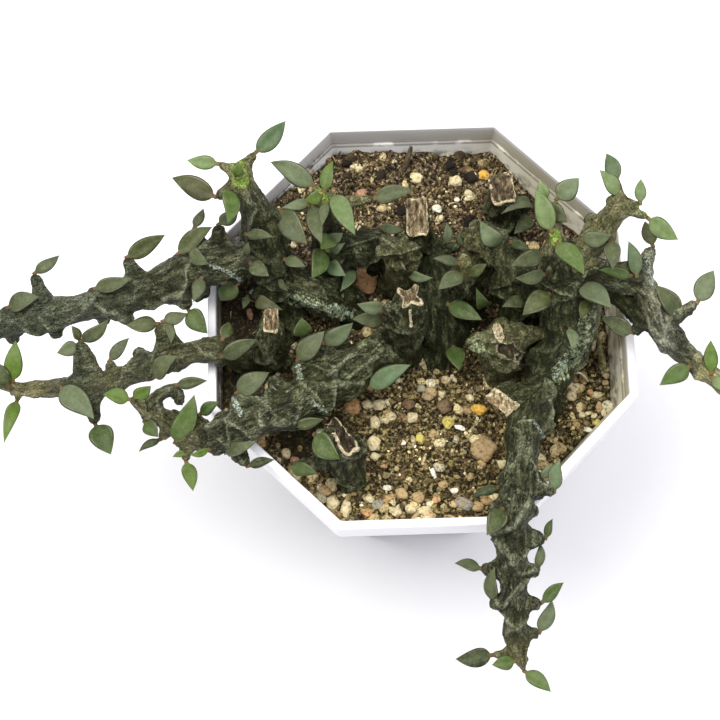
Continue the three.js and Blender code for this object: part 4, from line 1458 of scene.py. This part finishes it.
def grow_leaves(name, seats, rows, replaced):
    """All of one plant's leaves as one piece: each is its own closed shell."""
    parts = []
    shade = []
    tones = []
    for k, (seat, (_, _, tip_x, tip_y, width, lift, tone)) in enumerate(zip(seats, rows)):
        base = seat.tip
        tip = lifted(np.array(spot(tip_x, tip_y, (base[2] - rim_height) / MM + lift)))
        middle = (base + tip) / 2
        raised_middle = lifted(middle)
        arch = np.linalg.norm(raised_middle - middle)
        roll = 0.3 * math.sin(7.1 * k + len(rows))
        curl = 0.05 + 0.05 * math.sin(3.7 * k)
        sway = 0.05 * math.sin(2.9 * k + 1)
        rings, marks = leaf_shape(base, tip, width * MM * LEAF_WIDENING, roll, curl, sway, arch)
        parts.append(rings)
        shade.extend(marks)
        tint = 1 + 0.12 * math.sin(5.3 * k)
        tones.extend([[part * tint for part in TONES[tone]]] * (len(rings) * len(rings[0])))
    points, faces = joined(parts)
    mesh = bpy.data.meshes.new(name)
    mesh.from_pydata(points, [], faces)
    for label, values in zip(("edge", "blade"), np.array(shade).T):
        attribute(mesh, label, values)
    attribute(mesh, "tone", tones, "FLOAT_VECTOR")
    smooth(mesh)
    mesh.materials.append(leaf_material)
    leaves = add_object(name, mesh)
    if replaced:
        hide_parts(*replaced)
    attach(leaves, "root")


green = Paint("leaf")
blade_share = green.attribute("blade")
edge_share = green.attribute("edge")
grain_of_leaf = green.noise(1500, 3, roughness=0.6)
cloud = green.noise(300, 3)
flesh = green.mix(green.span(cloud, 0.4, 0.65) * 0.35, green.attribute("tone", 1), (0.058, 0.053, 0.028))
# Painted highlight: the middle of each leaf, away from its edge, is lightened in clouds.
middle_mask = (1 - green.span(edge_share, 0.25, 0.9)) * green.span(cloud, 0.3, 0.6)
leaf_streaks = green.span(green.noise(620, 5, roughness=0.7), 0.36, 0.64)
lit_middle = green.mix(middle_mask * 0.2, flesh, (0.15, 0.2, 0.08))
deepened = green.mix(leaf_streaks * 0.3, lit_middle, (0.02, 0.03, 0.008))
bloom = green.mix(green.span(grain_of_leaf, 0.48, 0.7) * 0.18, deepened, (0.2, 0.225, 0.11))
midrib = (1 - green.span(edge_share, 0.0, 0.1)) * (1 - green.span(blade_share, 0.5, 0.85))
ribbed = green.mix(midrib * 0.08, bloom, (0.2, 0.24, 0.12))
shaded = green.mix(green.span(edge_share + cloud * 0.3, 0.85, 1.15) * 0.35, ribbed, (0.03, 0.034, 0.014))
# A pale line just inside each leaf's edge: partly its own pale margin, partly a painted highlight on the
# rounded edge.
margin = green.span(edge_share, 0.72, 0.84) * (1 - green.span(edge_share, 0.86, 0.93))
margined = green.mix(margin * green.span(cloud, 0.35, 0.6) * 0.4, shaded, (0.24, 0.25, 0.15))
rim_mask = green.span(edge_share + grain_of_leaf * 0.1, 0.95, 1.04)
rimmed = green.mix(rim_mask * 0.75, margined, (0.04, 0.03, 0.022))
foot_mask = 1 - green.span(blade_share + grain_of_leaf * 0.08, 0.03, 0.12)
footed = green.mix(foot_mask * 0.7, rimmed, (0.15, 0.075, 0.038))
clouded = green.ramp(cloud, (0.36, (0.78, 0.8, 0.7)), (0.62, (1, 1, 0.98)))
leaf_material = green.finish(
    Base_Color=green.mix(1.0, footed, clouded, "MULTIPLY"),
    Roughness=green.span(cloud, 0.2, 0.8) * 0.2 + 0.4,
    Specular_IOR_Level=0.17,
    Subsurface_Weight=0.12,
    Subsurface_Radius=(0.6, 1.0, 0.3),
    Subsurface_Scale=0.0012,
    Normal=green.bump(grain_of_leaf * 0.5 + cloud * 0.8, 0.4, 0.0004))


def grow(name, seed, branches, leaves=(), cad_leaves=0, horns=(), cuts=None, marks=(), gloom=None,
         youth=None, wrinkles=1.0):
    """One plant: its stem replaces the CAD stem, and its leaves replace the CAD leaves."""
    axes = [Axis(rows) for rows in branches]
    leaf_seats = [Seat(axes, x, y) for x, y, *_ in leaves]
    horn_seats = [Seat(axes, x, y) for x, y in horns]
    wounds = {number: Cut(axes[number], **sizes) for number, sizes in (cuts or {}).items()}
    stem = grow_stem(name + "_bark", axes, leaf_seats + horn_seats, wounds, marks, gloom or {},
                     youth or {}, wrinkles, seed)
    grown_axes.extend(axes)
    stem.data.materials.append(bark_material)
    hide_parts(name)
    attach(stem, "root")
    if leaves:
        label = name.replace("stem_", "").replace("stump_", "")
        replaced = [f"leaf_{label}_{k + 1}" for k in range(cad_leaves)]
        grow_leaves(f"leaves_of_{name}", leaf_seats, leaves, replaced)


# The upper west stem comes up at the pot's west side, sends one long rod out over the rim to the
# left, one short leafy shoot to the back and one arm down into the mix. All of it is one piece.
grow("stem_west_upper", 1, cad_leaves=9, wrinkles=0.45, branches=[
    [(-24, 331, -4, 2.6), (0, 324, -2, 3.7), (30, 319, 0, 3.9), (60, 313, 2, 3.7), (95, 304, 5, 3.9),
     (135, 295, 8, 4.1), (170, 281, 10, 4.8), (200, 268, 11, 5), (232, 262, 12, 5), (266, 256, 12, 5)],
    [(240, 172, 30, 2.2), (247, 190, 27, 3.2), (257, 212, 23, 4.4), (268, 240, 16, 5), (277, 268, 9, 5),
     (286, 305, -2, 5), (290, 350, -17, 5)],
    [(275, 268, 8, 4.5), (300, 283, 6, 5.2), (325, 295, 3, 5), (348, 306, -3, 4.2), (362, 330, -17, 4)],
], leaves=[
    (34, 274, 59, 255, 2.9, 1, "grey"), (7, 308, 39, 297, 4.4, 3, "grey"),
    (94, 289, 132, 278, 3.5, 3, "grey"), (126, 258, 165, 235, 4, 1, "olive"),
    (188, 309, 206, 333, 4.7, 1, "green"), (255, 153, 286, 121, 4.3, 1, "teal"),
    (219, 164, 187, 160, 3.2, 0, "mint"), (216, 197, 171, 178, 4.8, 1, "brown"),
    (229, 189, 228, 223, 4.3, 5, "fresh"), (194, 229, 203, 208, 2.4, 1, "grey"),
    (177, 255, 212, 227, 4.2, 2, "olive"), (190, 250, 209, 264, 3.6, 4, "grey"),
    (202, 277, 193, 301, 3.3, 1, "grey"), (218, 225, 238, 208, 3.4, 2, "pale"),
    (246, 234, 273, 237, 2.6, 4, "grey"), (250, 263, 269, 276, 3.8, 3, "grey"),
    (247, 255, 248, 243, 1.8, 2, "grey"), (284, 259, 305, 266, 2.8, 3, "grey"),
    (256, 300, 283, 310, 3.4, 3, "brown"), (248, 296, 243, 308, 1.9, 1, "dark"),
    (279, 279, 288, 291, 1.7, 2, "grey"), (236, 176, 240, 164, 2.6, 3, "bright"),
    (238, 283, 220, 301, 4.6, -5, "green"),
], horns=[(58, 339), (127, 321), (219, 230), (178, 256), (204, 276), (250, 262), (262, 298)],
   marks=[(238, 168, 241, 180, 2.6, "sprout"), (211, 266, 228, 272, 0.6, "silver"),
          (228, 272, 240, 280, 0.75, "silver"), (240, 280, 251, 291, 0.7, "silver"),
          (294, 298, 325, 308, 2.2, "lichen"), (325, 308, 352, 316, 2, "lichen"),
          (302, 303, 320, 309, 0.9, "silver"), (328, 306, 350, 314, 0.7, "silver"),
          (40, 318, 52, 330, 1.3, "ridge"), (52, 330, 82, 312, 1.3, "ridge"),
          (82, 312, 95, 298, 1.3, "ridge"), (105, 312, 128, 322, 1.3, "ridge"),
          (128, 322, 165, 298, 1.3, "ridge")],
   gloom={1: (10, 36), 2: (-10, 10)})


# The middle west stem is a thinner rod that leaves the mix at the west wall and hangs out to the left.
# Its far end is young, and tan where the older bark is grey.
grow("stem_west_middle", 2, cad_leaves=7, wrinkles=0.6, branches=[
    [(3, 385, -7, 1.5), (25, 389, -6, 1.8), (45, 388, -5, 2.1), (60, 388, -4, 2.8), (82, 389, -2, 3.5),
     (104, 384, 0, 3), (130, 375, 2, 2.9), (152, 364, 4, 3.4), (172, 358, 5, 3.1), (195, 352, 6.5, 3),
     (220, 350, 6, 3.1), (241, 357, -1, 3.2), (251, 374, -17, 3.2)],
], leaves=[
    (81, 342, 108, 320, 3.4, 1, "grey"), (79, 344, 57, 353, 3.4, 1, "pale"),
    (95, 424, 111, 453, 5.8, 1, "green"), (109, 362, 129, 338, 2.9, 1, "grey"),
    (13, 382, 15, 341, 4.3, 1, "bright"), (17, 401, 4, 443, 3.2, 1, "bright"),
    (159, 324, 126, 325, 3.8, 1, "olive"), (80, 341, 72, 326, 2.2, 1, "dark"),
    (60, 387, 94, 419, 5.8, 3, "pale"), (10, 388, -10, 362, 4, 1, "dark"),
    (153, 378, 177, 356, 4.5, 3, "grey"), (162, 322, 187, 313, 3.2, 1, "grey"),
    (168, 322, 171, 343, 2.2, 1, "grey"), (222, 340, 229, 322, 3.2, -2, "dark"),
    (221, 357, 257, 341, 4.2, 3, "grey"),
], horns=[(60, 387), (163, 322), (153, 378), (221, 357)])


# The southwest stem leaves the middle of the pot beside its own pruned stump and runs out over the
# front left of the rim, where it forks into two leafy ends.
grow("stem_southwest", 3, cad_leaves=7, branches=[
    [(188, 441, 2, 2.4), (206, 438, 4, 3.2), (226, 430, 6, 4.1), (252, 418, 8, 4.8), (290, 404, 7, 5.2),
     (330, 384, 4, 5.4), (368, 362, 1, 5.6), (398, 350, -5, 5), (404, 366, -17, 4.8)],
    [(206, 438, 4, 3.1), (188, 431, 1, 3), (172, 423, 0, 2.7), (159, 416, 0.5, 2.6), (149, 409, 1, 2.5),
     (139, 403, 2, 1.7)],
    [(410, 296, 20, 3.2), (408, 314, 13, 4), (406, 334, 3, 4.3), (404, 366, -17, 4.5)],
    [(149, 409, 1, 2.2), (154, 400, 2, 1.9), (163, 393, 3, 1.7), (173, 390, 3.5, 1.6), (180, 394, 3, 1.5),
     (179, 401, 2, 1.2)],
], leaves=[
    (131, 400, 103, 394, 3.8, 1, "bright"), (175, 385, 207, 381, 2.8, 1, "grey"),
    (175, 443, 194, 397, 5.2, 7, "fresh"), (186, 461, 193, 491, 3.4, 1, "bright"),
    (236, 394, 268, 372, 5.1, 3, "grey"), (297, 361, 324, 331, 5, 4, "grey"),
    (368, 388, 410, 365, 4.5, 4, "teal"), (132, 399, 151, 386, 3.4, 1, "bright"),
    (144, 421, 158, 437, 3.7, 1, "green"), (161, 439, 139, 451, 1.9, 1, "dark"),
    (199, 415, 219, 402, 2.8, 2, "green"), (187, 452, 173, 457, 1.6, 1, "bright"),
    (210, 449, 190, 455, 1.8, 1, "bright"), (225, 453, 257, 441, 3.3, 3, "grey"),
    (247, 466, 274, 460, 2.3, 1, "dim"), (323, 345, 353, 323, 4.4, 3, "pale"),
    (294, 426, 323, 420, 2.8, 2, "dark"), (302, 337, 302, 319, 4.6, 6, "green"),
    (384, 320, 353, 319, 3.8, 5, "grey"), (384, 308, 359, 305, 3.4, 5, "pale"),
], horns=[(199, 415), (225, 453), (193, 424), (219, 455), (144, 421), (294, 426), (240, 461)],
   cuts={2: dict(half_side=3.5, half_up=3.3, lean=(0, -0.15, 0), turn=32, waist=0.42, square=False,
                 heart=0.4)},
   marks=[(233, 399, 240, 413, 0.9, "silver"), (410, 310, 411, 326, 0.4, "scar"),
          (297, 362, 300, 380, 0.9, "silver"), (300, 383, 330, 386, 1.7, "ridge"),
          (330, 386, 362, 383, 1.7, "ridge"), (262, 424, 294, 422, 1.6, "ridge"),
          (330, 375, 355, 352, 1.6, "ridge"), (345, 380, 376, 357, 1.5, "ridge"),
          (355, 352, 385, 330, 1.6, "ridge"), (312, 402, 325, 412, 0.7, "silver"),
          (208, 428, 222, 421, 1.2, "ridge")],
   gloom={2: (-4, 20)}, youth={1: 0.45, 3: 0.12})


# The north stem is a short leafy shoot at the back wall, with a bud at its top.
grow("stem_north", 4, cad_leaves=3, branches=[
    [(322, 200, 22, 2.2), (325, 215, 18, 3), (330, 240, 11, 4.1), (335, 262, 3, 4.4), (340, 296, -17, 4.4)],
    [(334, 250, 8, 4), (358, 248, 7, 4.4), (380, 252, 4, 4.5), (395, 262, -2, 4.2), (402, 285, -14, 4)],
], leaves=[
    (315, 186, 270, 162, 4.6, 2, "pale"), (324, 193, 333, 161, 3.2, 2, "bright"),
    (333, 194, 355, 232, 4.8, 3, "mint"), (322, 196, 305, 200, 3.2, 2, "bright"),
    (326, 202, 322, 224, 2.3, 3, "grey"), (313, 205, 321, 243, 4, 3, "grey"),
    (311, 203, 283, 207, 2.6, 2, "pale"), (280, 210, 306, 243, 5.6, 2, "grey"),
    (373, 199, 413, 191, 4, 2, "grey"), (378, 228, 404, 229, 2.6, 2, "grey"),
    (322, 248, 312, 278, 4.8, 3, "green"), (327, 261, 345, 275, 3.6, 3, "teal"),
    (353, 268, 341, 289, 3.2, 2, "teal"), (326, 240, 343, 233, 3, 3, "pale"),
    (331, 251, 345, 243, 2.4, 3, "pale"), (333, 237, 321, 249, 4.2, 4, "fresh"),
], horns=[(314, 198), (322, 246), (345, 246), (385, 236), (362, 262)],
   marks=[(318, 196, 325, 200, 2.2, "sprout"), (324, 243, 330, 248, 1.6, "sprout"),
          (345, 247, 378, 238, 0.5, "ridge")],
   gloom={0: (2, 24), 1: (-2, 14)})


# Stumps are the feet of old stems that were pruned. A healed cut has a pale callus rim round a
# brown sunken core, and two stumps end in a star of four tubercles instead.
grow("stump_north", 5, branches=[
    [(417, 217, 12, 3), (419, 232, 6, 3.9), (424, 268, -17, 4.2)],
], leaves=[
    (446, 246, 447, 223, 2.5, 3, "pale"), (461, 247, 463, 229, 2.5, 3, "pale"),
], cuts={0: dict(half_side=2.3, half_up=4.1, lean=(0, -0.35, 0), heart=0.6)})
grow("stump_star", 6, branches=[
    [(400, 252, 14, 4), (400, 266, 6, 4.2), (398, 300, -17, 3.8)],
], leaves=[
    (406, 272, 431, 278, 2.7, 6, "pale"),
], horns=[(381, 236), (419, 248), (403, 271), (375, 251)],
   cuts={0: dict(half_side=5.2, half_up=4.6, lean=(0, -0.2, 0), turn=12, waist=0.62, square=False,
                 heart=None)},
   marks=[(400, 253, 383, 238, 0.5, "ridge"), (400, 253, 420, 247, 0.5, "ridge"),
          (400, 253, 404, 272, 0.5, "ridge"), (400, 253, 378, 254, 0.5, "ridge")],
   gloom={0: (-8, 6)}, youth={0: 0.25})
grow("stump_northeast", 7, branches=[
    [(502, 188, 5, 3.2), (503, 201, 0, 4), (505, 228, -17, 4.2)],
], leaves=[
    (530, 207, 501, 214, 3.3, 4, "grey"), (530, 216, 514, 234, 4, 3, "dark"),
], cuts={0: dict(half_side=2.7, half_up=3.4, lean=(0, -0.3, 0), turn=-6, heart=0.2)})


# The middle stem is a low clump of two short rods, one ending in a star of tubercles.
grow("stem_middle", 8, cad_leaves=1, branches=[
    [(464, 263, 14, 2.2), (465, 275, 9, 3.4), (468, 300, -3, 4), (470, 326, -17, 4)],
    [(486, 239, 12, 4), (481, 258, 4, 4.2), (470, 290, -8, 4)],
    [(434, 262, -2, 4.4), (438, 290, -2, 5.2), (442, 322, -4, 5.4), (442, 345, -9, 5.4), (438, 368, -17, 5)],
], leaves=[
    (464, 274, 439, 289, 4, 3, "grey"), (467, 276, 487, 264, 2.9, 2, "olive"),
    (460, 264, 434, 258, 2.4, 2, "grey"), (447, 304, 482, 320, 4.2, 3, "green"),
    (484, 301, 476, 288, 3.7, 3, "green"), (453, 346, 459, 369, 4.9, 4, "green"),
    (502, 245, 480, 221, 4.6, 2, "pale"),
], horns=[(465, 243), (500, 246), (484, 222), (448, 303), (424, 334), (462, 330)],
   cuts={1: dict(half_side=4.2, half_up=3.4, lean=(0, -0.2, 0), turn=20, waist=0.75, heart=None)},
   gloom={0: (2, 16), 1: (-16, 4), 2: (2, 24)}, youth={1: 0.3})


# The inner east stem is an upright old rod with close-set dark tubercles.
grow("stem_inner_east", 9, branches=[
    [(506, 254, 11, 4.2), (514, 270, 9, 5.4), (519, 290, 5, 5.6), (521, 312, -2, 5), (519, 340, -17, 4.6)],
], leaves=[
    (525, 303, 502, 307, 3.2, 3, "dark"), (510, 242, 530, 250, 2.2, 2, "dark"),
], horns=[(540, 253), (484, 262), (492, 285), (540, 294)], gloom={0: (6, 26)})


# The east stem is the largest plant: a trunk that rises at the east side, a rod out over the rim to
# the right, a shoot to the back, a paler old foot, a pruned stub and a long rod over the front rim.
grow("stem_east", 10, cad_leaves=17, branches=[
    [(555, 238, 27, 2.4), (558, 252, 24, 3.8), (562, 275, 18, 5), (562, 305, 11, 5.4), (558, 335, 5, 5.4),
     (550, 362, 0, 5.4), (543, 392, -5, 5.4), (541, 416, -17, 5.4)],
    [(748, 398, 5, 1.8), (728, 386, 7, 2.6), (705, 371, 8, 2.7), (692, 360, 9, 2.8), (678, 347, 11, 3.3),
     (662, 328, 13, 3.3), (651, 304, 16, 2.9), (640, 282, 18, 3.2), (612, 276, 18, 3.8), (585, 270, 18, 4.4),
     (562, 275, 18, 4.4)],
    [(624, 206, 29, 2), (614, 214, 27, 3.1), (600, 232, 24, 3.5), (583, 250, 22, 3.8), (562, 262, 21, 4)],
    [(575, 285, 14, 4.0), (586, 305, 9, 3.8), (583, 328, 4, 3.6), (573, 352, -2, 3.6), (559, 376, -9, 3.4),
     (552, 392, -17, 3.4)],
    [(521, 662, -10, 1.6), (517, 640, -6, 2.7), (515, 610, -1, 3.3), (514, 580, 3, 3.6), (512, 550, 6, 4),
     (513, 520, 7.5, 4.2), (517, 490, 7, 4.2), (522, 460, 6, 4.2), (524, 435, 4, 4.6), (532, 410, 1, 5),
     (543, 388, -3, 5)],
    [(500, 402, 3, 3.4), (520, 398, 1, 4.2), (540, 396, -2, 4.6)],
    [(590, 284, 13, 3.6), (612, 292, 12, 3.4), (634, 305, 12, 3.2), (654, 321, 13, 2.8)],
    [(598, 296, 10, 0.75), (596, 325, 3, 0.6), (600, 348, -4, 0.65), (603, 366, -9, 1.1)],
], leaves=[
    (552, 232, 535, 190, 4.7, 3, "mint"), (557, 243, 584, 274, 4.7, 4, "fresh"),
    (618, 182, 606, 153, 3.6, 1, "teal"), (640, 204, 641, 179, 2.6, 1, "mint"),
    (648, 218, 677, 240, 4.4, 1, "mint"), (680, 316, 655, 285, 4.4, 3, "grey"),
    (697, 303, 714, 270, 4.6, 1, "pale"), (690, 366, 661, 385, 4.2, 1, "fresh"),
    (579, 284, 611, 308, 5, 3, "pale"), (634, 333, 601, 319, 4, 1, "grey"),
    (554, 492, 560, 460, 3.2, 2, "teal"), (482, 569, 455, 563, 2.6, 1, "dark"),
    (541, 603, 564, 583, 2.9, 1, "green"), (539, 633, 552, 600, 3.4, 2, "pale"),
    (493, 655, 456, 659, 4.2, 1, "dim"), (516, 661, 492, 665, 3.4, 1, "fresh"),
    (524, 671, 551, 691, 3.6, 1, "fresh"), (547, 200, 539, 181, 2.8, 2, "mint"),
    (556, 200, 579, 178, 4.7, 2, "pale"), (548, 206, 566, 222, 4, 2, "grey"),
    (581, 240, 611, 235, 4, 3, "pale"), (611, 240, 612, 268, 3.7, 3, "grey"),
    (590, 300, 581, 318, 3, 3, "olive"), (570, 328, 572, 349, 2.8, 4, "pale"),
    (632, 276, 600, 271, 2.6, 3, "green"), (637, 262, 612, 268, 3, 3, "olive"),
    (620, 197, 600, 170, 3.4, 2, "mint"), (653, 247, 645, 221, 3.3, 1, "brown"),
    (637, 277, 629, 241, 3.3, 3, "teal"), (711, 374, 711, 340, 3.2, 1, "bright"),
    (712, 377, 728, 392, 3, 1, "mint"), (740, 392, 752, 372, 3, 1, "bright"),
    (748, 398, 772, 405, 3, 1, "bright"), (499, 487, 472, 497, 2.3, 2, "dim"),
    (503, 508, 487, 534, 4.6, 3, "dark"), (541, 479, 552, 463, 2.4, 2, "pale"),
    (545, 539, 553, 519, 1.9, 1, "dark"), (538, 570, 540, 543, 2.2, 1, "grey"),
    (492, 601, 494, 569, 3.2, 3, "grey"), (544, 254, 512, 266, 3.9, 3, "grey"),
    (546, 274, 516, 278, 3.3, 3, "grey"), (550, 293, 524, 314, 4.8, 3, "olive"),
], horns=[(499, 487), (608, 197), (650, 248), (581, 240), (499, 507), (541, 536), (537, 570), (490, 603),
          (492, 568), (711, 374)],
   cuts={5: dict(half_side=3.1, half_up=1.3, lean=(-0.2, -0.3, 1.6), turn=-25, heart=1)},
   marks=[(590, 318, 578, 345, 3.2, "lichen"), (578, 345, 560, 374, 2.7, "lichen"),
          (556, 376, 566, 360, 0.6, "silver"), (555, 234, 556, 241, 1.8, "sprout"),
          (641, 207, 650, 217, 1.2, "sprout"), (648, 262, 652, 282, 0.8, "silver"),
          (674, 316, 680, 328, 0.6, "crack"), (680, 328, 687, 342, 0.6, "crack"),
          (634, 327, 660, 338, 0.8, "crack"), (641, 262, 640, 280, 0.6, "crack"),
          (529, 503, 513, 527, 1.5, "ridge"), (513, 527, 492, 533, 1.5, "ridge"),
          (505, 547, 520, 573, 1.5, "ridge"), (520, 573, 534, 570, 1.5, "ridge"),
          (520, 584, 504, 607, 0.8, "ridge"), (504, 607, 496, 600, 0.8, "ridge"),
          (508, 620, 526, 638, 0.8, "ridge"), (518, 424, 534, 421, 0.5, "ridge"),
          (534, 421, 545, 438, 0.55, "silver"), (528, 503, 516, 520, 0.5, "ridge")],
   gloom={0: (9, 34), 2: (-10, 10), 3: (-34, -16), 4: (-10, 5), 5: (0, 20), 6: (14, 30)},
   youth={2: 0.75, 6: 0})


# Three low stumps stand in front of them: one torn off, one cut at the front and one at the west wall.
grow("stump_broken", 11, branches=[
    [(505, 339, 6, 5), (504, 350, 0, 5), (500, 384, -17, 4.4)],
], horns=[(466, 342), (537, 365), (499, 318), (548, 334)],
   cuts={0: dict(half_side=8.6, half_up=5.2, lean=(0, -0.12, 0), turn=-14, waist=0.66, square=False,
                 heart=None)},
   marks=[(497, 328, 500, 337, 1.3, "scar"), (466, 340, 486, 354, 2, "lichen"),
          (503, 348, 524, 359, 2.1, "hollow"), (492, 342, 512, 342, 0.5, "ridge"),
          (512, 342, 536, 364, 0.5, "ridge"), (484, 330, 470, 342, 0.6, "ridge"),
          (530, 366, 537, 365, 0.6, "silver")],
   gloom={0: (-14, 0)}, youth={0: 0.3})
grow("stump_front", 12, cad_leaves=1, branches=[
    [(342, 437, 8, 3.4), (346, 455, 2, 4.4), (352, 486, -17, 4.6)],
], leaves=[
    (314, 434, 339, 459, 5.4, 2, "green"), (290, 467, 317, 474, 3.3, 4, "green"),
], cuts={0: dict(half_side=1.6, half_up=4.4, lean=(0, -0.3, 0), turn=-20, heart=0)})
grow("stump_west", 13, branches=[
    [(271, 320, 10, 3), (270, 338, 5, 3.9), (268, 376, -17, 4.2)],
], cuts={0: dict(half_side=1.45, half_up=2.9, lean=(0, -0.3, 0), turn=-8, heart=0.55)})
